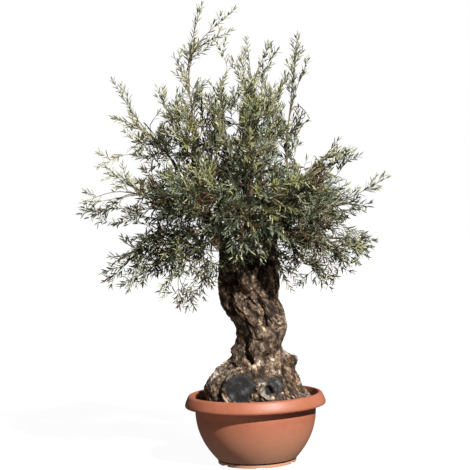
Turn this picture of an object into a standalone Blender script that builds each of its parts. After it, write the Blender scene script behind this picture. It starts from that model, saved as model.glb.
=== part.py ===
"""An old olive trained as a bonsai, in a moulded bowl, at its real size.

The bowl stands on z = 0 with its axis on the origin. The trunk is a thick, twisted stump
with sawn roots, three limbs rise from its fork, and every limb carries boughs. Each bough
ends where it enters its own mass of shoots and leaves.
"""

import math
import random

import bmesh
import bpy
import numpy as np
from mathutils import Vector

UP = Vector((0.0, 0.0, 1.0))
GOLDEN_ANGLE = math.pi * (3 - math.sqrt(5))

# Clearances, in metres
SEAT_GAP = 0.0003  # between two pieces that bear on each other
SPACE_MARGIN = 0.003  # how far inside its own space a mass stays
LIMB_CLEARANCE = 0.004  # between leaves or shoots and any limb

# Bowl: a moulded wall under a deep rolled rim
BOWL_SIDES = 34
FOOT_RADIUS = 0.181
FOOT_HEIGHT = 0.016
SHOULDER_RADIUS = 0.279
SHOULDER_HEIGHT = 0.251
BELLY_POWER = 2.27  # how fast the wall turns upright
RIM_RADIUS = 0.3255
RIM_HEIGHT = 0.317
RIM_DEPTH = 0.055
LIP_RADIUS = 0.292  # of the opening
WALL = 0.006
FLOOR = 0.014
NOTCHES = 6
NOTCH_SIZE = (0.040, 0.024, 0.007)  # along the foot, into it, and up

# Soil
SOIL_HEIGHT = 0.285

# Trunk, above the soil: (height, centre x, centre y, half width, half depth)
TRUNK_GIRTHS = (
    (0.000, 0.010, -0.004, 0.217, 0.188),
    (0.055, 0.000, -0.004, 0.192, 0.176),
    (0.115, 0.008, 0.000, 0.164, 0.152),
    (0.165, 0.014, 0.002, 0.141, 0.130),
    (0.215, 0.019, 0.004, 0.117, 0.112),
    (0.265, 0.027, 0.004, 0.104, 0.102),
    (0.315, 0.038, 0.002, 0.112, 0.102),
    (0.365, 0.030, 0.000, 0.122, 0.107),
    (0.415, 0.009, 0.000, 0.134, 0.113),
    (0.472, -0.013, 0.002, 0.134, 0.116),
    (0.532, -0.014, 0.004, 0.139, 0.118),
    (0.600, -0.010, 0.006, 0.140, 0.120),
    (0.700, -0.008, 0.008, 0.140, 0.116),
)
TRUNK_HEIGHT = 0.685
CROWN_OF_TRUNK = 0.080  # the height over which the top rounds off
TRUNK_SIDES = 35
TRUNK_RINGS = 30

# Strands of wood that wind up the trunk
STRANDS = 5
STRAND_DEPTH = 0.008
STRAND_TWIST = -2.7  # radians per metre

# Burls, knobs and hollows: (degrees round from +x, height above the soil, width, height of the form, bulge)
BURLS = (
    (185, 0.094, 0.085, 0.048, 0.050),  # left root knob
    (186, 0.020, 0.070, 0.040, 0.022),  # left toe
    (182, 0.156, 0.034, 0.026, 0.026),  # left step
    (-172, 0.240, 0.028, 0.024, 0.020),  # left upper nub
    (-7, 0.186, 0.046, 0.034, 0.054),  # right shelf
    (-4, 0.100, 0.070, 0.056, 0.030),  # right haunch
    (-2, 0.010, 0.070, 0.036, 0.034),  # right toe
    (-115, 0.070, 0.085, 0.085, 0.046),  # sawn root, front left
    (-70, 0.056, 0.072, 0.064, 0.040),  # sawn roots, front right
    (-94, 0.128, 0.026, 0.045, -0.012),  # dip between the sawn roots
    (-50, 0.385, 0.034, 0.030, 0.010),  # knob on the elbow
    (-22, 0.325, 0.050, 0.045, 0.007),  # elbow
    (-20, 0.268, 0.040, 0.030, 0.008),
    (-104, 0.258, 0.034, 0.028, 0.015),  # lobe above the hollow
    (-78, 0.232, 0.040, 0.026, 0.008),  # lump at the waist
    (196, 0.445, 0.035, 0.030, 0.006),  # left shoulder
    (-90, 0.560, 0.040, 0.052, 0.036),  # burl between the limbs
    (-52, 0.560, 0.042, 0.060, -0.034),  # recess right of that burl
    (-124, 0.585, 0.034, 0.075, -0.038),  # recess left of that burl
    (-90, 0.680, 0.080, 0.050, -0.040),  # the fork's hollow above it
    (-63, 0.205, 0.030, 0.018, -0.012),  # dent in the base
    (-145, 0.050, 0.020, 0.050, -0.056),  # gap between two roots
    (70, 0.060, 0.060, 0.060, 0.028),  # back root, right
    (118, 0.120, 0.050, 0.060, 0.024),  # back root, left
    (95, 0.330, 0.050, 0.090, -0.018),  # groove at the back
    (60, 0.470, 0.036, 0.060, 0.016),
    (140, 0.500, 0.036, 0.080, 0.012),
    (100, 0.580, 0.030, 0.070, -0.030),
)
BLUNTNESS = 1.5  # of burls: 1 is a soft swelling, more is a block with rounded edges

# Main folds: places they pass as (degrees round, height above the soil), half width, how far they stand out
FOLDS = (
    (  # the belly, which winds down from the fork's left to the waist
        ((-115, 0.480), (-114, 0.426), (-109, 0.379), (-100, 0.333), (-88, 0.295), (-80, 0.250)),
        0.032, 0.016,
    ),
    (  # the right strand, over the elbow
        ((-62, 0.470), (-46, 0.443), (-34, 0.410), (-30, 0.361), (-28, 0.320), (-42, 0.270)),
        0.026, 0.010,
    ),
    (  # the left groove
        ((-135, 0.540), (-142, 0.440), (-146, 0.371), (-142, 0.331), (-134, 0.290), (-124, 0.251)),
        0.018, -0.026,
    ),
    (((-122, 0.246), (-113, 0.214), (-103, 0.184)), 0.012, -0.080),  # the hollow
    (((-72, 0.486), (-68, 0.434), (-69, 0.399), (-73, 0.350)), 0.010, -0.026),  # cleft, front right
    (((171, 0.040), (172, 0.130), (166, 0.210)), 0.012, -0.020),
    (((95, 0.000), (92, 0.100), (80, 0.200), (70, 0.300)), 0.014, -0.022),
    (((35, 0.020), (42, 0.120), (36, 0.220), (30, 0.340)), 0.012, -0.018),
    (((120, 0.300), (122, 0.400), (110, 0.500)), 0.012, -0.020),
)

# Roots sawn off flat: (degrees round, height above the soil, radius of the cut, how far out it is, tilt up)
SAWN_ROOTS = (
    (-113, 0.082, 0.068, 0.186, 8),
    (-74, 0.062, 0.020, 0.194, 4),
    (-56, 0.088, 0.034, 0.180, 12),
)

# Limbs that rise from the fork: points on the axis, then the radius at either end
LIMBS = {
    "left_limb": (
        ((-0.086, 0.000, 0.84), (-0.098, 0.000, 0.96), (-0.150, -0.008, 1.06), (-0.202, 0.000, 1.17)),
        0.060, 0.024,
    ),
    "right_limb": (
        ((0.078, 0.000, 0.84), (0.094, 0.000, 0.96), (0.108, 0.004, 1.06), (0.150, 0.008, 1.15)),
        0.050, 0.024,
    ),
    "back_limb": (
        ((-0.004, 0.050, 0.84), (-0.006, 0.082, 0.95), (0.000, 0.112, 1.05), (0.010, 0.125, 1.17)),
        0.054, 0.022,
    ),
}
LIMB_SIDES = 8
LIMB_PIECES = 9
LIMB_COLLAR = 0.135  # how much of a limb's foot belongs to the trunk

# Boughs
BOUGH_SIDES = 6
BOUGH_PIECES = 10
BOUGH_RADIUS = 0.0135  # at the limb
COLLAR_LENGTH = 0.006  # of a bough's foot past the last place where it touches a limb
ENTRY_RADIUS = 0.0075  # where it enters its mass
STEM_TIP_RADIUS = 0.0040
BOUGH_RISE = 0.10  # arch, as a share of the way to the mass
CROWN_FOOT = Vector((0.0, 0.0, 0.98))

# Masses of foliage: limb, place along it, heart of the mass, reach, long shoots by the place of their tips
MASSES = {
    "foliage_top_left": (
        "left_limb", 1.00, (-0.259, 0.04, 1.740), (0.12, 0.15, 0.235),
        ((-0.176, 0.00, 2.126), (-0.021, -0.05, 2.089), (-0.033, 0.08, 2.007), (-0.359, -0.06, 1.775)),
    ),
    "foliage_top_centre": (
        "back_limb", 1.00, (0.034, 0.00, 1.633), (0.17, 0.18, 0.2),
        ((-0.107, 0.08, 1.911), (0.019, 0.05, 1.973), (0.136, -0.05, 1.932)),
    ),
    "foliage_top_right": (
        "right_limb", 1.00, (0.206, 0.03, 1.569), (0.115, 0.17, 0.23),
        ((0.263, 0.02, 1.978), (0.301, -0.08, 1.849), (0.316, 0.12, 1.571)),
    ),
    "foliage_left_high": (
        "left_limb", 0.93, (-0.454, 0.06, 1.516), (0.15, 0.18, 0.165),
        ((-0.616, 0.05, 1.803), (-0.618, -0.05, 1.607), (-0.411, -0.04, 1.651)),
    ),
    "foliage_left_top": (
        "left_limb", 0.90, (-0.224, -0.12, 1.547), (0.2, 0.18, 0.19),
        ((-0.184, -0.10, 1.783), (-0.382, -0.20, 1.556)),
    ),
    "foliage_left_mid": (
        "left_limb", 0.80, (-0.481, -0.04, 1.236), (0.19, 0.2, 0.15),
        ((-0.690, 0.10, 1.423), (-0.582, 0.02, 1.432), (-0.778, -0.05, 1.219), (-0.710, -0.15, 1.148)),
    ),
    "foliage_left_low": (
        "left_limb", 0.56, (-0.426, -0.04, 0.991), (0.2, 0.19, 0.125),
        ((-0.663, -0.10, 0.851), (-0.641, -0.16, 0.935), (-0.600, 0.10, 1.063), (-0.560, -0.16, 0.810)),
    ),
    "foliage_left_under": (
        "left_limb", 0.66, (-0.261, -0.22, 0.946), (0.17, 0.15, 0.135),
        ((-0.410, -0.22, 0.764), (-0.320, -0.26, 0.728), (-0.256, -0.20, 0.730), (-0.167, -0.24, 0.823)),
    ),
    "foliage_right_high": (
        "right_limb", 0.94, (0.328, -0.02, 1.354), (0.145, 0.17, 0.125),
        ((0.490, -0.08, 1.428), (0.429, -0.05, 1.477)),
    ),
    "foliage_right_mid": (
        "right_limb", 0.80, (0.386, 0.06, 1.149), (0.165, 0.19, 0.125),
        ((0.665, 0.05, 1.297), (0.558, -0.08, 1.156)),
    ),
    "foliage_right_low": (
        "right_limb", 0.60, (0.318, -0.10, 0.983), (0.235, 0.18, 0.15),
        ((0.588, -0.05, 1.004), (0.495, -0.16, 0.893), (0.359, -0.14, 0.807), (0.185, -0.18, 0.807)),
    ),
    "foliage_front_left": (
        "left_limb", 0.72, (-0.240, -0.28, 1.229), (0.2, 0.2, 0.2),
        ((-0.330, -0.50, 1.260),),
    ),
    "foliage_front_centre": (
        "right_limb", 0.66, (-0.002, -0.24, 1.088), (0.24, 0.22, 0.19),
        ((-0.087, -0.34, 0.944), (0.047, -0.34, 0.917)),
    ),
    "foliage_front_right": (
        "right_limb", 0.76, (0.204, -0.29, 1.204), (0.2, 0.19, 0.2),
        ((0.320, -0.48, 1.270),),
    ),
    "foliage_front_top": (
        "left_limb", 0.97, (0.016, -0.21, 1.470), (0.24, 0.2, 0.22),
        ((-0.147, -0.20, 1.624), (0.166, -0.16, 1.616), (0.060, -0.36, 1.660)),
    ),
    "foliage_back_left": (
        "back_limb", 0.78, (-0.270, 0.32, 1.220), (0.23, 0.22, 0.22),
        ((-0.440, 0.48, 1.360), (-0.300, 0.44, 0.930)),
    ),
    "foliage_back_centre": (
        "back_limb", 0.88, (0.000, 0.39, 1.300), (0.2, 0.2, 0.2),
        ((0.020, 0.56, 1.420),),
    ),
    "foliage_back_right": (
        "back_limb", 0.70, (0.260, 0.32, 1.180), (0.22, 0.22, 0.22),
        ((0.420, 0.48, 1.330), (0.270, 0.42, 0.920)),
    ),
    "foliage_heart": (
        "left_limb", 0.84, (-0.120, 0.07, 1.420), (0.22, 0.2, 0.24),
        (),
    ),
    "foliage_back_top": (
        "back_limb", 0.96, (0.040, 0.27, 1.570), (0.21, 0.2, 0.2),
        ((0.120, 0.42, 1.740),),
    ),
}
SHOOTS = 7  # to each mass, long ones and all
SHOOT_RADIUS = 0.0042
SHOOT_TIP_RADIUS = 0.0022
LONG_SHOOT_PIECES = 2
SHORTEST_SHOOT = 0.10
STEM_PIECES = 3
CAP_OF_DIRECTIONS = -0.70  # how far round the heart shoots turn, as a cosine

# Leaves, each standing for a spray of real ones
LEAF_LENGTH = 0.200
LEAF_WIDTH = 0.070
LEAF_EDGE = 0.026  # from a leaf's rib, where its room is tested
LEAF_THICKNESS = 0.0045
LEAF_WIDEST = 0.52
LEAF_ANGLE = math.radians(48)
LEAF_GAP = 0.009  # nearer than this to another shoot or its leaves, a leaf is left off
LEAF_STATIONS = (0.72,)  # pairs along a shoot
LONG_LEAF_STATIONS = (0.42, 0.74)  # pairs along a long shoot


def clear_scene():
    for obj in list(bpy.data.objects):
        bpy.data.objects.remove(obj)


def material(name, colour, roughness):
    """A Principled material in one of the tree's own colours."""
    made = bpy.data.materials.new(name)
    made.use_nodes = True
    shader = made.node_tree.nodes["Principled BSDF"]
    shader.inputs["Base Color"].default_value = (*colour, 1.0)
    shader.inputs["Roughness"].default_value = roughness
    shader.inputs["Metallic"].default_value = 0.0
    return made


def add_object(name, verts, faces, finish, smooth_angle=None):
    """A mesh object from points in the tree's own frame."""
    mesh = bpy.data.meshes.new(name)
    mesh.from_pydata([tuple(v) for v in verts], [], faces)
    mesh.materials.append(finish)
    if smooth_angle is not None:
        mesh.shade_smooth()
        mesh.set_sharp_from_angle(angle=smooth_angle)
    obj = bpy.data.objects.new(name, mesh)
    bpy.context.scene.collection.objects.link(obj)
    return obj


def join_all(obj, others, solver="EXACT"):
    """One Boolean union of obj with the others, which are then removed."""
    if not others:
        return obj
    group = bpy.data.collections.new(obj.name + "_parts")
    bpy.context.scene.collection.children.link(group)
    for other in others:
        bpy.context.scene.collection.objects.unlink(other)
        group.objects.link(other)
    union = obj.modifiers.new("Union", "BOOLEAN")
    union.operation = "UNION"
    union.operand_type = "COLLECTION"
    union.collection = group
    union.solver = solver
    bpy.context.view_layer.update()
    graph = bpy.context.evaluated_depsgraph_get()
    joined = bpy.data.meshes.new_from_object(obj.evaluated_get(graph))
    obj.modifiers.clear()
    obj.data = joined
    keep_body(joined)
    for other in others:
        bpy.data.objects.remove(other)
    bpy.data.collections.remove(group)
    return obj


def keep_body(mesh):
    """Drops every shell but the largest, which fills a hollow that a union sealed and clears its scrap."""
    work = bmesh.new()
    work.from_mesh(mesh)
    left = set(work.faces)
    shells = []
    while left:
        shell = [left.pop()]
        for face in shell:
            beside = {other for edge in face.edges for other in edge.link_faces}
            shell += beside & left
            left -= beside
        shells.append(shell)
    largest = max(shells, key=len)
    spare = [face for shell in shells if shell is not largest for face in shell]
    bmesh.ops.delete(work, geom=spare, context="FACES")
    work.to_mesh(mesh)
    work.free()


class Path:
    """A line through a few points, smooth or straight between them, read by the distance along it."""

    STEPS = 16

    def __init__(self, points, smooth=True):
        points = [Vector(p) for p in points]
        self.line = []
        if smooth:
            ends = [2 * points[0] - points[1], *points, 2 * points[-1] - points[-2]]
            for a, b, c, d in zip(ends, ends[1:], ends[2:], ends[3:]):
                for step in range(self.STEPS):
                    t = step / self.STEPS
                    bend = (2 * a - 5 * b + 4 * c - d) * t * t + (3 * b - 3 * c + d - a) * t**3
                    self.line.append(0.5 * (2 * b + (c - a) * t + bend))
            self.line.append(points[-1])
        else:
            self.line = points
        self.marks = [0.0]
        for a, b in zip(self.line, self.line[1:]):
            self.marks.append(self.marks[-1] + (b - a).length)
        self.length = self.marks[-1]

    def point(self, distance):
        place = np.clip(distance, 0.0, self.length)
        step = min(int(np.searchsorted(self.marks, place, side="right")) - 1, len(self.line) - 2)
        step = max(step, 0)
        span = self.marks[step + 1] - self.marks[step]
        return self.line[step].lerp(self.line[step + 1], (place - self.marks[step]) / span)

    def direction(self, distance):
        reach = 0.004
        low = max(distance - reach, 0.0)
        high = min(distance + reach, self.length)
        return (self.point(high) - self.point(low)).normalized()


def tube(line, radii, sides, first=None, last=None):
    """The points and faces of a closed, tapering tube along a line; its flat ends face first and last."""
    verts, faces = [], []
    across = None
    for place, (centre, radius) in enumerate(zip(line, radii)):
        behind = line[max(place - 1, 0)]
        ahead = line[min(place + 1, len(line) - 1)]
        along = (ahead - behind).normalized()
        if place == 0 and first:
            along = first
        if place == len(line) - 1 and last:
            along = last
        if across is None:
            across = along.orthogonal()
        across = (across - along * across.dot(along)).normalized()
        other = along.cross(across)
        for side in range(sides):
            turn = math.tau * side / sides
            verts.append(centre + radius * (math.cos(turn) * across + math.sin(turn) * other))
    for ring in range(len(line) - 1):
        for side in range(sides):
            here = ring * sides + side
            beside = ring * sides + (side + 1) % sides
            faces.append((here, beside, beside + sides, here + sides))
    faces.append(tuple(reversed(range(sides))))
    faces.append(tuple(range((len(line) - 1) * sides, len(line) * sides)))
    return verts, faces


def in_pieces(path, start, end, count):
    """Part of a path as a few straight pieces."""
    places = [start + (end - start) * piece / count for piece in range(count + 1)]
    return Path([path.point(place) for place in places], smooth=False)


def stretch(path, start, end, radius_at, sides):
    """A tube along part of a path of straight pieces, from one distance to another."""
    between = [mark for mark in path.marks if start + 0.004 < mark < end - 0.004]
    places = [start, *between, end]
    line = [path.point(place) for place in places]
    radii = [radius_at(place) for place in places]
    return tube(line, radii, sides, path.direction(start), path.direction(end))


# Bowl


def bowl_radius(height):
    """Outer radius of the bowl's wall below the rim."""
    rise = (height - FOOT_HEIGHT) / (SHOULDER_HEIGHT - FOOT_HEIGHT)
    rise = min(max(rise, 0.0), 1.0)
    return FOOT_RADIUS + (SHOULDER_RADIUS - FOOT_RADIUS) * (1 - (1 - rise) ** BELLY_POWER)


def wall_heights(low, high, count):
    return [low + (high - low) * step / (count - 1) for step in range(count)]


def inner_profile(low, high):
    """Inner face of the wall as (radius, height), from the floor to near the lip."""
    heights = wall_heights(low, high, 4)
    return [(bowl_radius(height) - WALL, height) for height in heights]


def revolve(name, profile, finish):
    """A closed outline of (radius, height) turned about the bowl's axis."""
    mesh = bmesh.new()
    outline = [mesh.verts.new((radius, 0.0, height)) for radius, height in profile]
    edges = [mesh.edges.new(pair) for pair in zip(outline, outline[1:])]
    bmesh.ops.spin(
        mesh, geom=outline + edges, axis=UP, cent=(0, 0, 0), angle=math.tau, steps=BOWL_SIDES, use_merge=True
    )
    bmesh.ops.remove_doubles(mesh, verts=mesh.verts, dist=1e-6)
    bmesh.ops.recalc_face_normals(mesh, faces=mesh.faces)
    made = bpy.data.meshes.new(name)
    mesh.to_mesh(made)
    mesh.free()
    made.materials.append(finish)
    made.shade_smooth()
    made.set_sharp_from_angle(angle=math.radians(30))
    obj = bpy.data.objects.new(name, made)
    bpy.context.scene.collection.objects.link(obj)
    return obj


def make_bowl(finish):
    """The bowl: a flat foot, a curved wall, a rolled rim and drain notches round the foot."""
    rim_foot = RIM_HEIGHT - RIM_DEPTH
    outside = [(bowl_radius(height), height) for height in wall_heights(FOOT_HEIGHT, SHOULDER_HEIGHT, 5)]
    rim = [
        (SHOULDER_RADIUS, rim_foot + 0.004),
        (RIM_RADIUS - 0.007, rim_foot),
        (RIM_RADIUS, rim_foot + 0.009),
        (RIM_RADIUS - 0.002, rim_foot + 0.020),
        (RIM_RADIUS - 0.016, RIM_HEIGHT - 0.006),
        (RIM_RADIUS - 0.022, RIM_HEIGHT),
        (LIP_RADIUS + 0.003, RIM_HEIGHT),
        (LIP_RADIUS, RIM_HEIGHT - 0.003),
    ]
    inside = [(SHOULDER_RADIUS - WALL, SHOULDER_HEIGHT + 0.012)]
    inside += reversed(inner_profile(FLOOR, SHOULDER_HEIGHT))
    profile = [(0.0, 0.0), (FOOT_RADIUS - 0.002, 0.0), (FOOT_RADIUS, 0.003)]
    profile += outside + rim + inside + [(0.0, FLOOR)]
    bowl = revolve("bowl", profile, finish)
    for place in range(NOTCHES):
        turn = math.tau * place / NOTCHES - math.pi / 2 + math.radians(4)
        bpy.ops.mesh.primitive_cube_add(size=1.0)
        cutter = bpy.context.object
        cutter.name = f"notch_cutter_{place + 1}"
        cutter.scale = (2 * NOTCH_SIZE[1], NOTCH_SIZE[0], 2 * NOTCH_SIZE[2])
        cutter.location = (FOOT_RADIUS * math.cos(turn), FOOT_RADIUS * math.sin(turn), 0.0)
        cutter.rotation_euler = (0.0, 0.0, turn)
        cutter.display_type = "WIRE"
        cutter.hide_render = True
        cut = bowl.modifiers.new(f"Notch {place + 1}", "BOOLEAN")
        cut.operation = "DIFFERENCE"
        cut.object = cutter
    return bowl


def make_soil(finish):
    """Soil that fills the bowl, the width of a seat clear of its wall and floor."""
    filled = [(radius - SEAT_GAP, height) for radius, height in inner_profile(FLOOR, SHOULDER_HEIGHT)]
    filled[0] = (filled[0][0], FLOOR + SEAT_GAP)
    rise = (SOIL_HEIGHT - SHOULDER_HEIGHT - 0.012) / (RIM_HEIGHT - 0.003 - SHOULDER_HEIGHT - 0.012)
    neck = SHOULDER_RADIUS - WALL
    filled.append((neck - SEAT_GAP, SHOULDER_HEIGHT + 0.012))
    filled.append((neck + (LIP_RADIUS - neck) * rise - 2 * SEAT_GAP, SOIL_HEIGHT))
    return revolve("soil", [(0.0, FLOOR + SEAT_GAP), *filled, (0.0, SOIL_HEIGHT)], finish)


# Trunk


def girth(height):
    """Centre x and y, half width and half depth of the trunk, smooth between its named girths."""
    rows = np.array(TRUNK_GIRTHS)
    return [smooth_between(rows[:, 0], rows[:, column], height) for column in range(1, 5)]


def smooth_between(xs, ys, x):
    """A smooth curve through the points (xs, ys), read at x."""
    step = int(np.clip(np.searchsorted(xs, x) - 1, 0, len(xs) - 2))
    slopes = np.gradient(ys, xs)
    span = xs[step + 1] - xs[step]
    t = np.clip((x - xs[step]) / span, 0.0, 1.0)
    start, end = ys[step], ys[step + 1]
    low, high = slopes[step] * span, slopes[step + 1] * span
    cubic = (2 * start - 2 * end + low + high) * t**3 + (3 * end - 3 * start - 2 * low - high) * t**2
    return float(cubic + low * t + start)


def angle_between(a, b):
    return (a - b + math.pi) % math.tau - math.pi


def folds_at(turn, height, radius):
    """How far the folds push the trunk's surface out, or in, at one place."""
    ridges, creases = 0.0, 0.0
    for places, half, rise in FOLDS:
        nearest = math.inf
        for (first, low), (second, high) in zip(places, places[1:]):
            x = angle_between(turn, math.radians(first)) * radius
            y = height - low
            dx = math.radians(second - first) * radius
            dy = high - low
            along = min(max((x * dx + y * dy) / (dx * dx + dy * dy), 0.0), 1.0)
            nearest = min(nearest, math.hypot(x - along * dx, y - along * dy))
        form = abs(rise) * math.exp(-((nearest / half) ** 2))
        if rise > 0:
            ridges += form
        else:
            creases = max(creases, form)
    return ridges - creases


def trunk_radius(turn, height):
    """Distance from the trunk's axis to its surface, in one direction at one height above the soil."""
    _, _, wide, deep = girth(height)
    reach = wide * deep / math.hypot(deep * math.cos(turn), wide * math.sin(turn))
    around = abs(math.cos(STRANDS / 2 * (turn - STRAND_TWIST * height)))
    reach += STRAND_DEPTH * (around - 0.6)
    for degrees, level, width, tall, bulge in BURLS:
        aside = angle_between(turn, math.radians(degrees)) * reach / width
        above = (height - level) / tall
        reach += bulge * math.exp(-((aside**2 + above**2) ** BLUNTNESS))
    return reach + folds_at(turn, height, reach)


def on_sawn_face(point, height):
    """The point drawn back to the nearest sawn face, where one cuts the root there."""
    for degrees, level, radius, distance, tilt in SAWN_ROOTS:
        turn, lean = math.radians(degrees), math.radians(tilt)
        normal = Vector((math.cos(turn) * math.cos(lean), math.sin(turn) * math.cos(lean), math.sin(lean)))
        centre = Vector((math.cos(turn) * distance, math.sin(turn) * distance, level))
        past = (point - centre).dot(normal)
        aside = (point - centre - normal * past).length
        if past > 0 and aside < radius * 1.25:
            point = point - normal * past
    return point


def trunk_surface(turn, height):
    """A point of the trunk's surface, measured from the middle of the soil's top."""
    x, y, _, _ = girth(height)
    rounding = max(height - (TRUNK_HEIGHT - CROWN_OF_TRUNK), 0.0) / CROWN_OF_TRUNK
    reach = trunk_radius(turn, height) * math.sqrt(max(1 - rounding**2, 0.04))
    return on_sawn_face(Vector((x + reach * math.cos(turn), y + reach * math.sin(turn), height)), height)


def make_trunk(finish, collars):
    """The trunk from its flat cut at the soil to its fork, with the feet of the limbs joined on."""
    foot = Vector((0.0, 0.0, SOIL_HEIGHT + SEAT_GAP))
    verts, faces = [], []
    for ring in range(TRUNK_RINGS):
        height = TRUNK_HEIGHT * ring / (TRUNK_RINGS - 1)
        for side in range(TRUNK_SIDES):
            point = trunk_surface(math.tau * side / TRUNK_SIDES, height)
            point.z = height
            verts.append(foot + point)
    for ring in range(TRUNK_RINGS - 1):
        for side in range(TRUNK_SIDES):
            here = ring * TRUNK_SIDES + side
            beside = ring * TRUNK_SIDES + (side + 1) % TRUNK_SIDES
            faces.append((here, beside, beside + TRUNK_SIDES, here + TRUNK_SIDES))
    faces.append(tuple(reversed(range(TRUNK_SIDES))))
    faces.append(tuple(range((TRUNK_RINGS - 1) * TRUNK_SIDES, TRUNK_RINGS * TRUNK_SIDES)))
    trunk = add_object("trunk", verts, faces, finish, math.radians(50))
    return join_all(trunk, collars)


# Limbs and boughs


def tapering(start, end, length):
    """Radius along a limb, which narrows quickly at its foot and slowly after it."""
    return lambda distance: end + (start - end) * max(1 - distance / length, 0.0) ** 1.3


def limb_paths():
    made = {}
    for name, (points, start, end) in LIMBS.items():
        smooth = Path(points)
        path = in_pieces(smooth, 0.0, smooth.length, LIMB_PIECES)
        made[name] = (path, tapering(start, end, path.length))
    return made


def bough_path(limb, share, heart, reach):
    """The line of a bough and of the stem that carries it on through its mass."""
    leaves_at = limb.length * share
    start = limb.point(leaves_at)
    heart = Vector(heart)
    way = heart - start
    first = (limb.direction(leaves_at) + 1.3 * way.normalized()).normalized()
    rise = UP * BOUGH_RISE * way.length
    onward = (heart - CROWN_FOOT).normalized()
    end = heart + 0.45 * Vector([a * b for a, b in zip(onward, reach)])
    smooth = Path((start, start + first * 0.30 * way.length, start.lerp(heart, 0.68) + rise, end))
    return in_pieces(smooth, 0.0, smooth.length, BOUGH_PIECES)


def sampled(path, radius_at, start, end, step=0.006):
    """Points and radii along a stretch of a limb, close enough together to stand for it."""
    count = max(int((end - start) / step), 2)
    marks = [start + (end - start) * place / (count - 1) for place in range(count)]
    return [tuple(path.point(mark)) for mark in marks], [radius_at(mark) for mark in marks]


def clear_of(path, points, radii, gap):
    """The shortest distance along a path after which it stays clear of the limbs that it leaves."""
    clear = 0.0
    steps = 60
    for step in range(steps):
        distance = path.length * 0.5 * step / steps
        apart = np.linalg.norm(points - np.array(path.point(distance)), axis=1)
        if (apart < radii + gap).any():
            clear = distance
    return clear + COLLAR_LENGTH


class Space:
    """The points that are nearer to one mass's heart than to any other, and the limbs that pass there."""

    def __init__(self, hearts, index):
        self.heart = hearts[index]
        self.others = np.delete(hearts, index, axis=0)
        self.spans = 2 * np.linalg.norm(self.others - self.heart, axis=1)

    def holds(self, points, margin):
        """Whether every point lies in the space, by that margin."""
        points = np.array([tuple(p) for p in points])
        own = ((points - self.heart) ** 2).sum(axis=1)[:, None]
        theirs = ((points[:, None, :] - self.others[None]) ** 2).sum(axis=2)
        return bool((((theirs - own) / self.spans) > margin).all())


def entry_distance(path, space, reach):
    """Where a bough enters its mass: past there its line stays in the mass's own space."""
    steps = 80
    entry = 0.0
    for step in range(steps):
        distance = path.length * step / steps
        point = path.point(distance)
        off = [(a - b) / c for a, b, c in zip(point, space.heart, reach)]
        outside = math.sqrt(sum(o * o for o in off)) > 1.1
        if outside or not space.holds([point], SPACE_MARGIN + 2 * ENTRY_RADIUS):
            entry = distance
    return entry + path.length / steps


# Foliage


def shoot_aims(name):
    """Where each shoot of a mass starts on its stem and where it ends, by one seeded rule."""
    _, _, heart, reach, tips = MASSES[name]
    draw = random.Random(name)
    heart = Vector(heart)
    outward = (heart - CROWN_FOOT).normalized()
    side = outward.orthogonal().normalized()
    other = outward.cross(side)
    aims = []
    for count, tip in enumerate(tips):
        aims.append((0.60 + 0.12 * (count % 3), Vector(tip), True, draw.uniform(0.0, math.pi)))
    first_turn = draw.uniform(0.0, math.tau)
    shoots = SHOOTS - len(tips)
    for count in range(shoots):
        cosine = 1 - (1 - CAP_OF_DIRECTIONS) * (count + 0.5) / shoots
        turn = first_turn + count * GOLDEN_ANGLE
        sine = math.sqrt(1 - cosine * cosine)
        towards = outward * cosine + (side * math.cos(turn) + other * math.sin(turn)) * sine
        length = draw.uniform(0.88, 1.0)
        end = heart + Vector([a * b * length for a, b in zip(towards, reach)])
        share = 0.14 + 0.66 * (cosine + 1) / 2 + draw.uniform(-0.05, 0.05)
        aims.append((share, end, False, draw.uniform(0.0, math.pi)))
    return aims


def shoot_path(stem, share, end):
    """A shoot leaves the stem along it, then bends to its end and lifts."""
    leaves_at = stem.length * share
    start = stem.point(leaves_at)
    way = end - start
    first = (0.8 * stem.direction(leaves_at) + way.normalized()).normalized()
    return Path((start, start + first * 0.40 * way.length + UP * 0.03 * way.length, end))


def three_sided(line, halves, depths, across):
    """A closed sweep of flat triangles along a line: a twig where they are even, a keeled leaf where wide.

    An end with no width is a point.
    """
    verts, faces = [], []
    rings = []
    for place, (centre, half, depth) in enumerate(zip(line, halves, depths)):
        along = (line[min(place + 1, len(line) - 1)] - line[max(place - 1, 0)]).normalized()
        wide = (across - along * across.dot(along)).normalized()
        normal = along.cross(wide)
        if half == 0.0:
            rings.append([len(verts)])
            verts.append(centre)
            continue
        rings.append([len(verts), len(verts) + 1, len(verts) + 2])
        verts.append(centre + wide * half - normal * depth / 3)
        verts.append(centre + normal * depth * 2 / 3)
        verts.append(centre - wide * half - normal * depth / 3)
    for low, high in zip(rings, rings[1:]):
        for side in range(3):
            beside = (side + 1) % 3
            if len(low) == 1:
                faces.append((low[0], high[beside], high[side]))
            elif len(high) == 1:
                faces.append((low[side], low[beside], high[0]))
            else:
                faces.append((low[side], low[beside], high[beside], high[side]))
    if len(rings[0]) == 3:
        faces.append(tuple(reversed(rings[0])))
    return verts, faces


def leaf_solid(root, towards, across, size):
    """A keeled leaf of six faces, widest before its middle."""
    line = [root, root + towards * size * LEAF_WIDEST, root + towards * size]
    share = math.sqrt(size / LEAF_LENGTH)
    return three_sided(line, [0.0, LEAF_WIDTH / 2 * share, 0.0], [0.0, LEAF_THICKNESS, 0.0], across)


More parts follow.
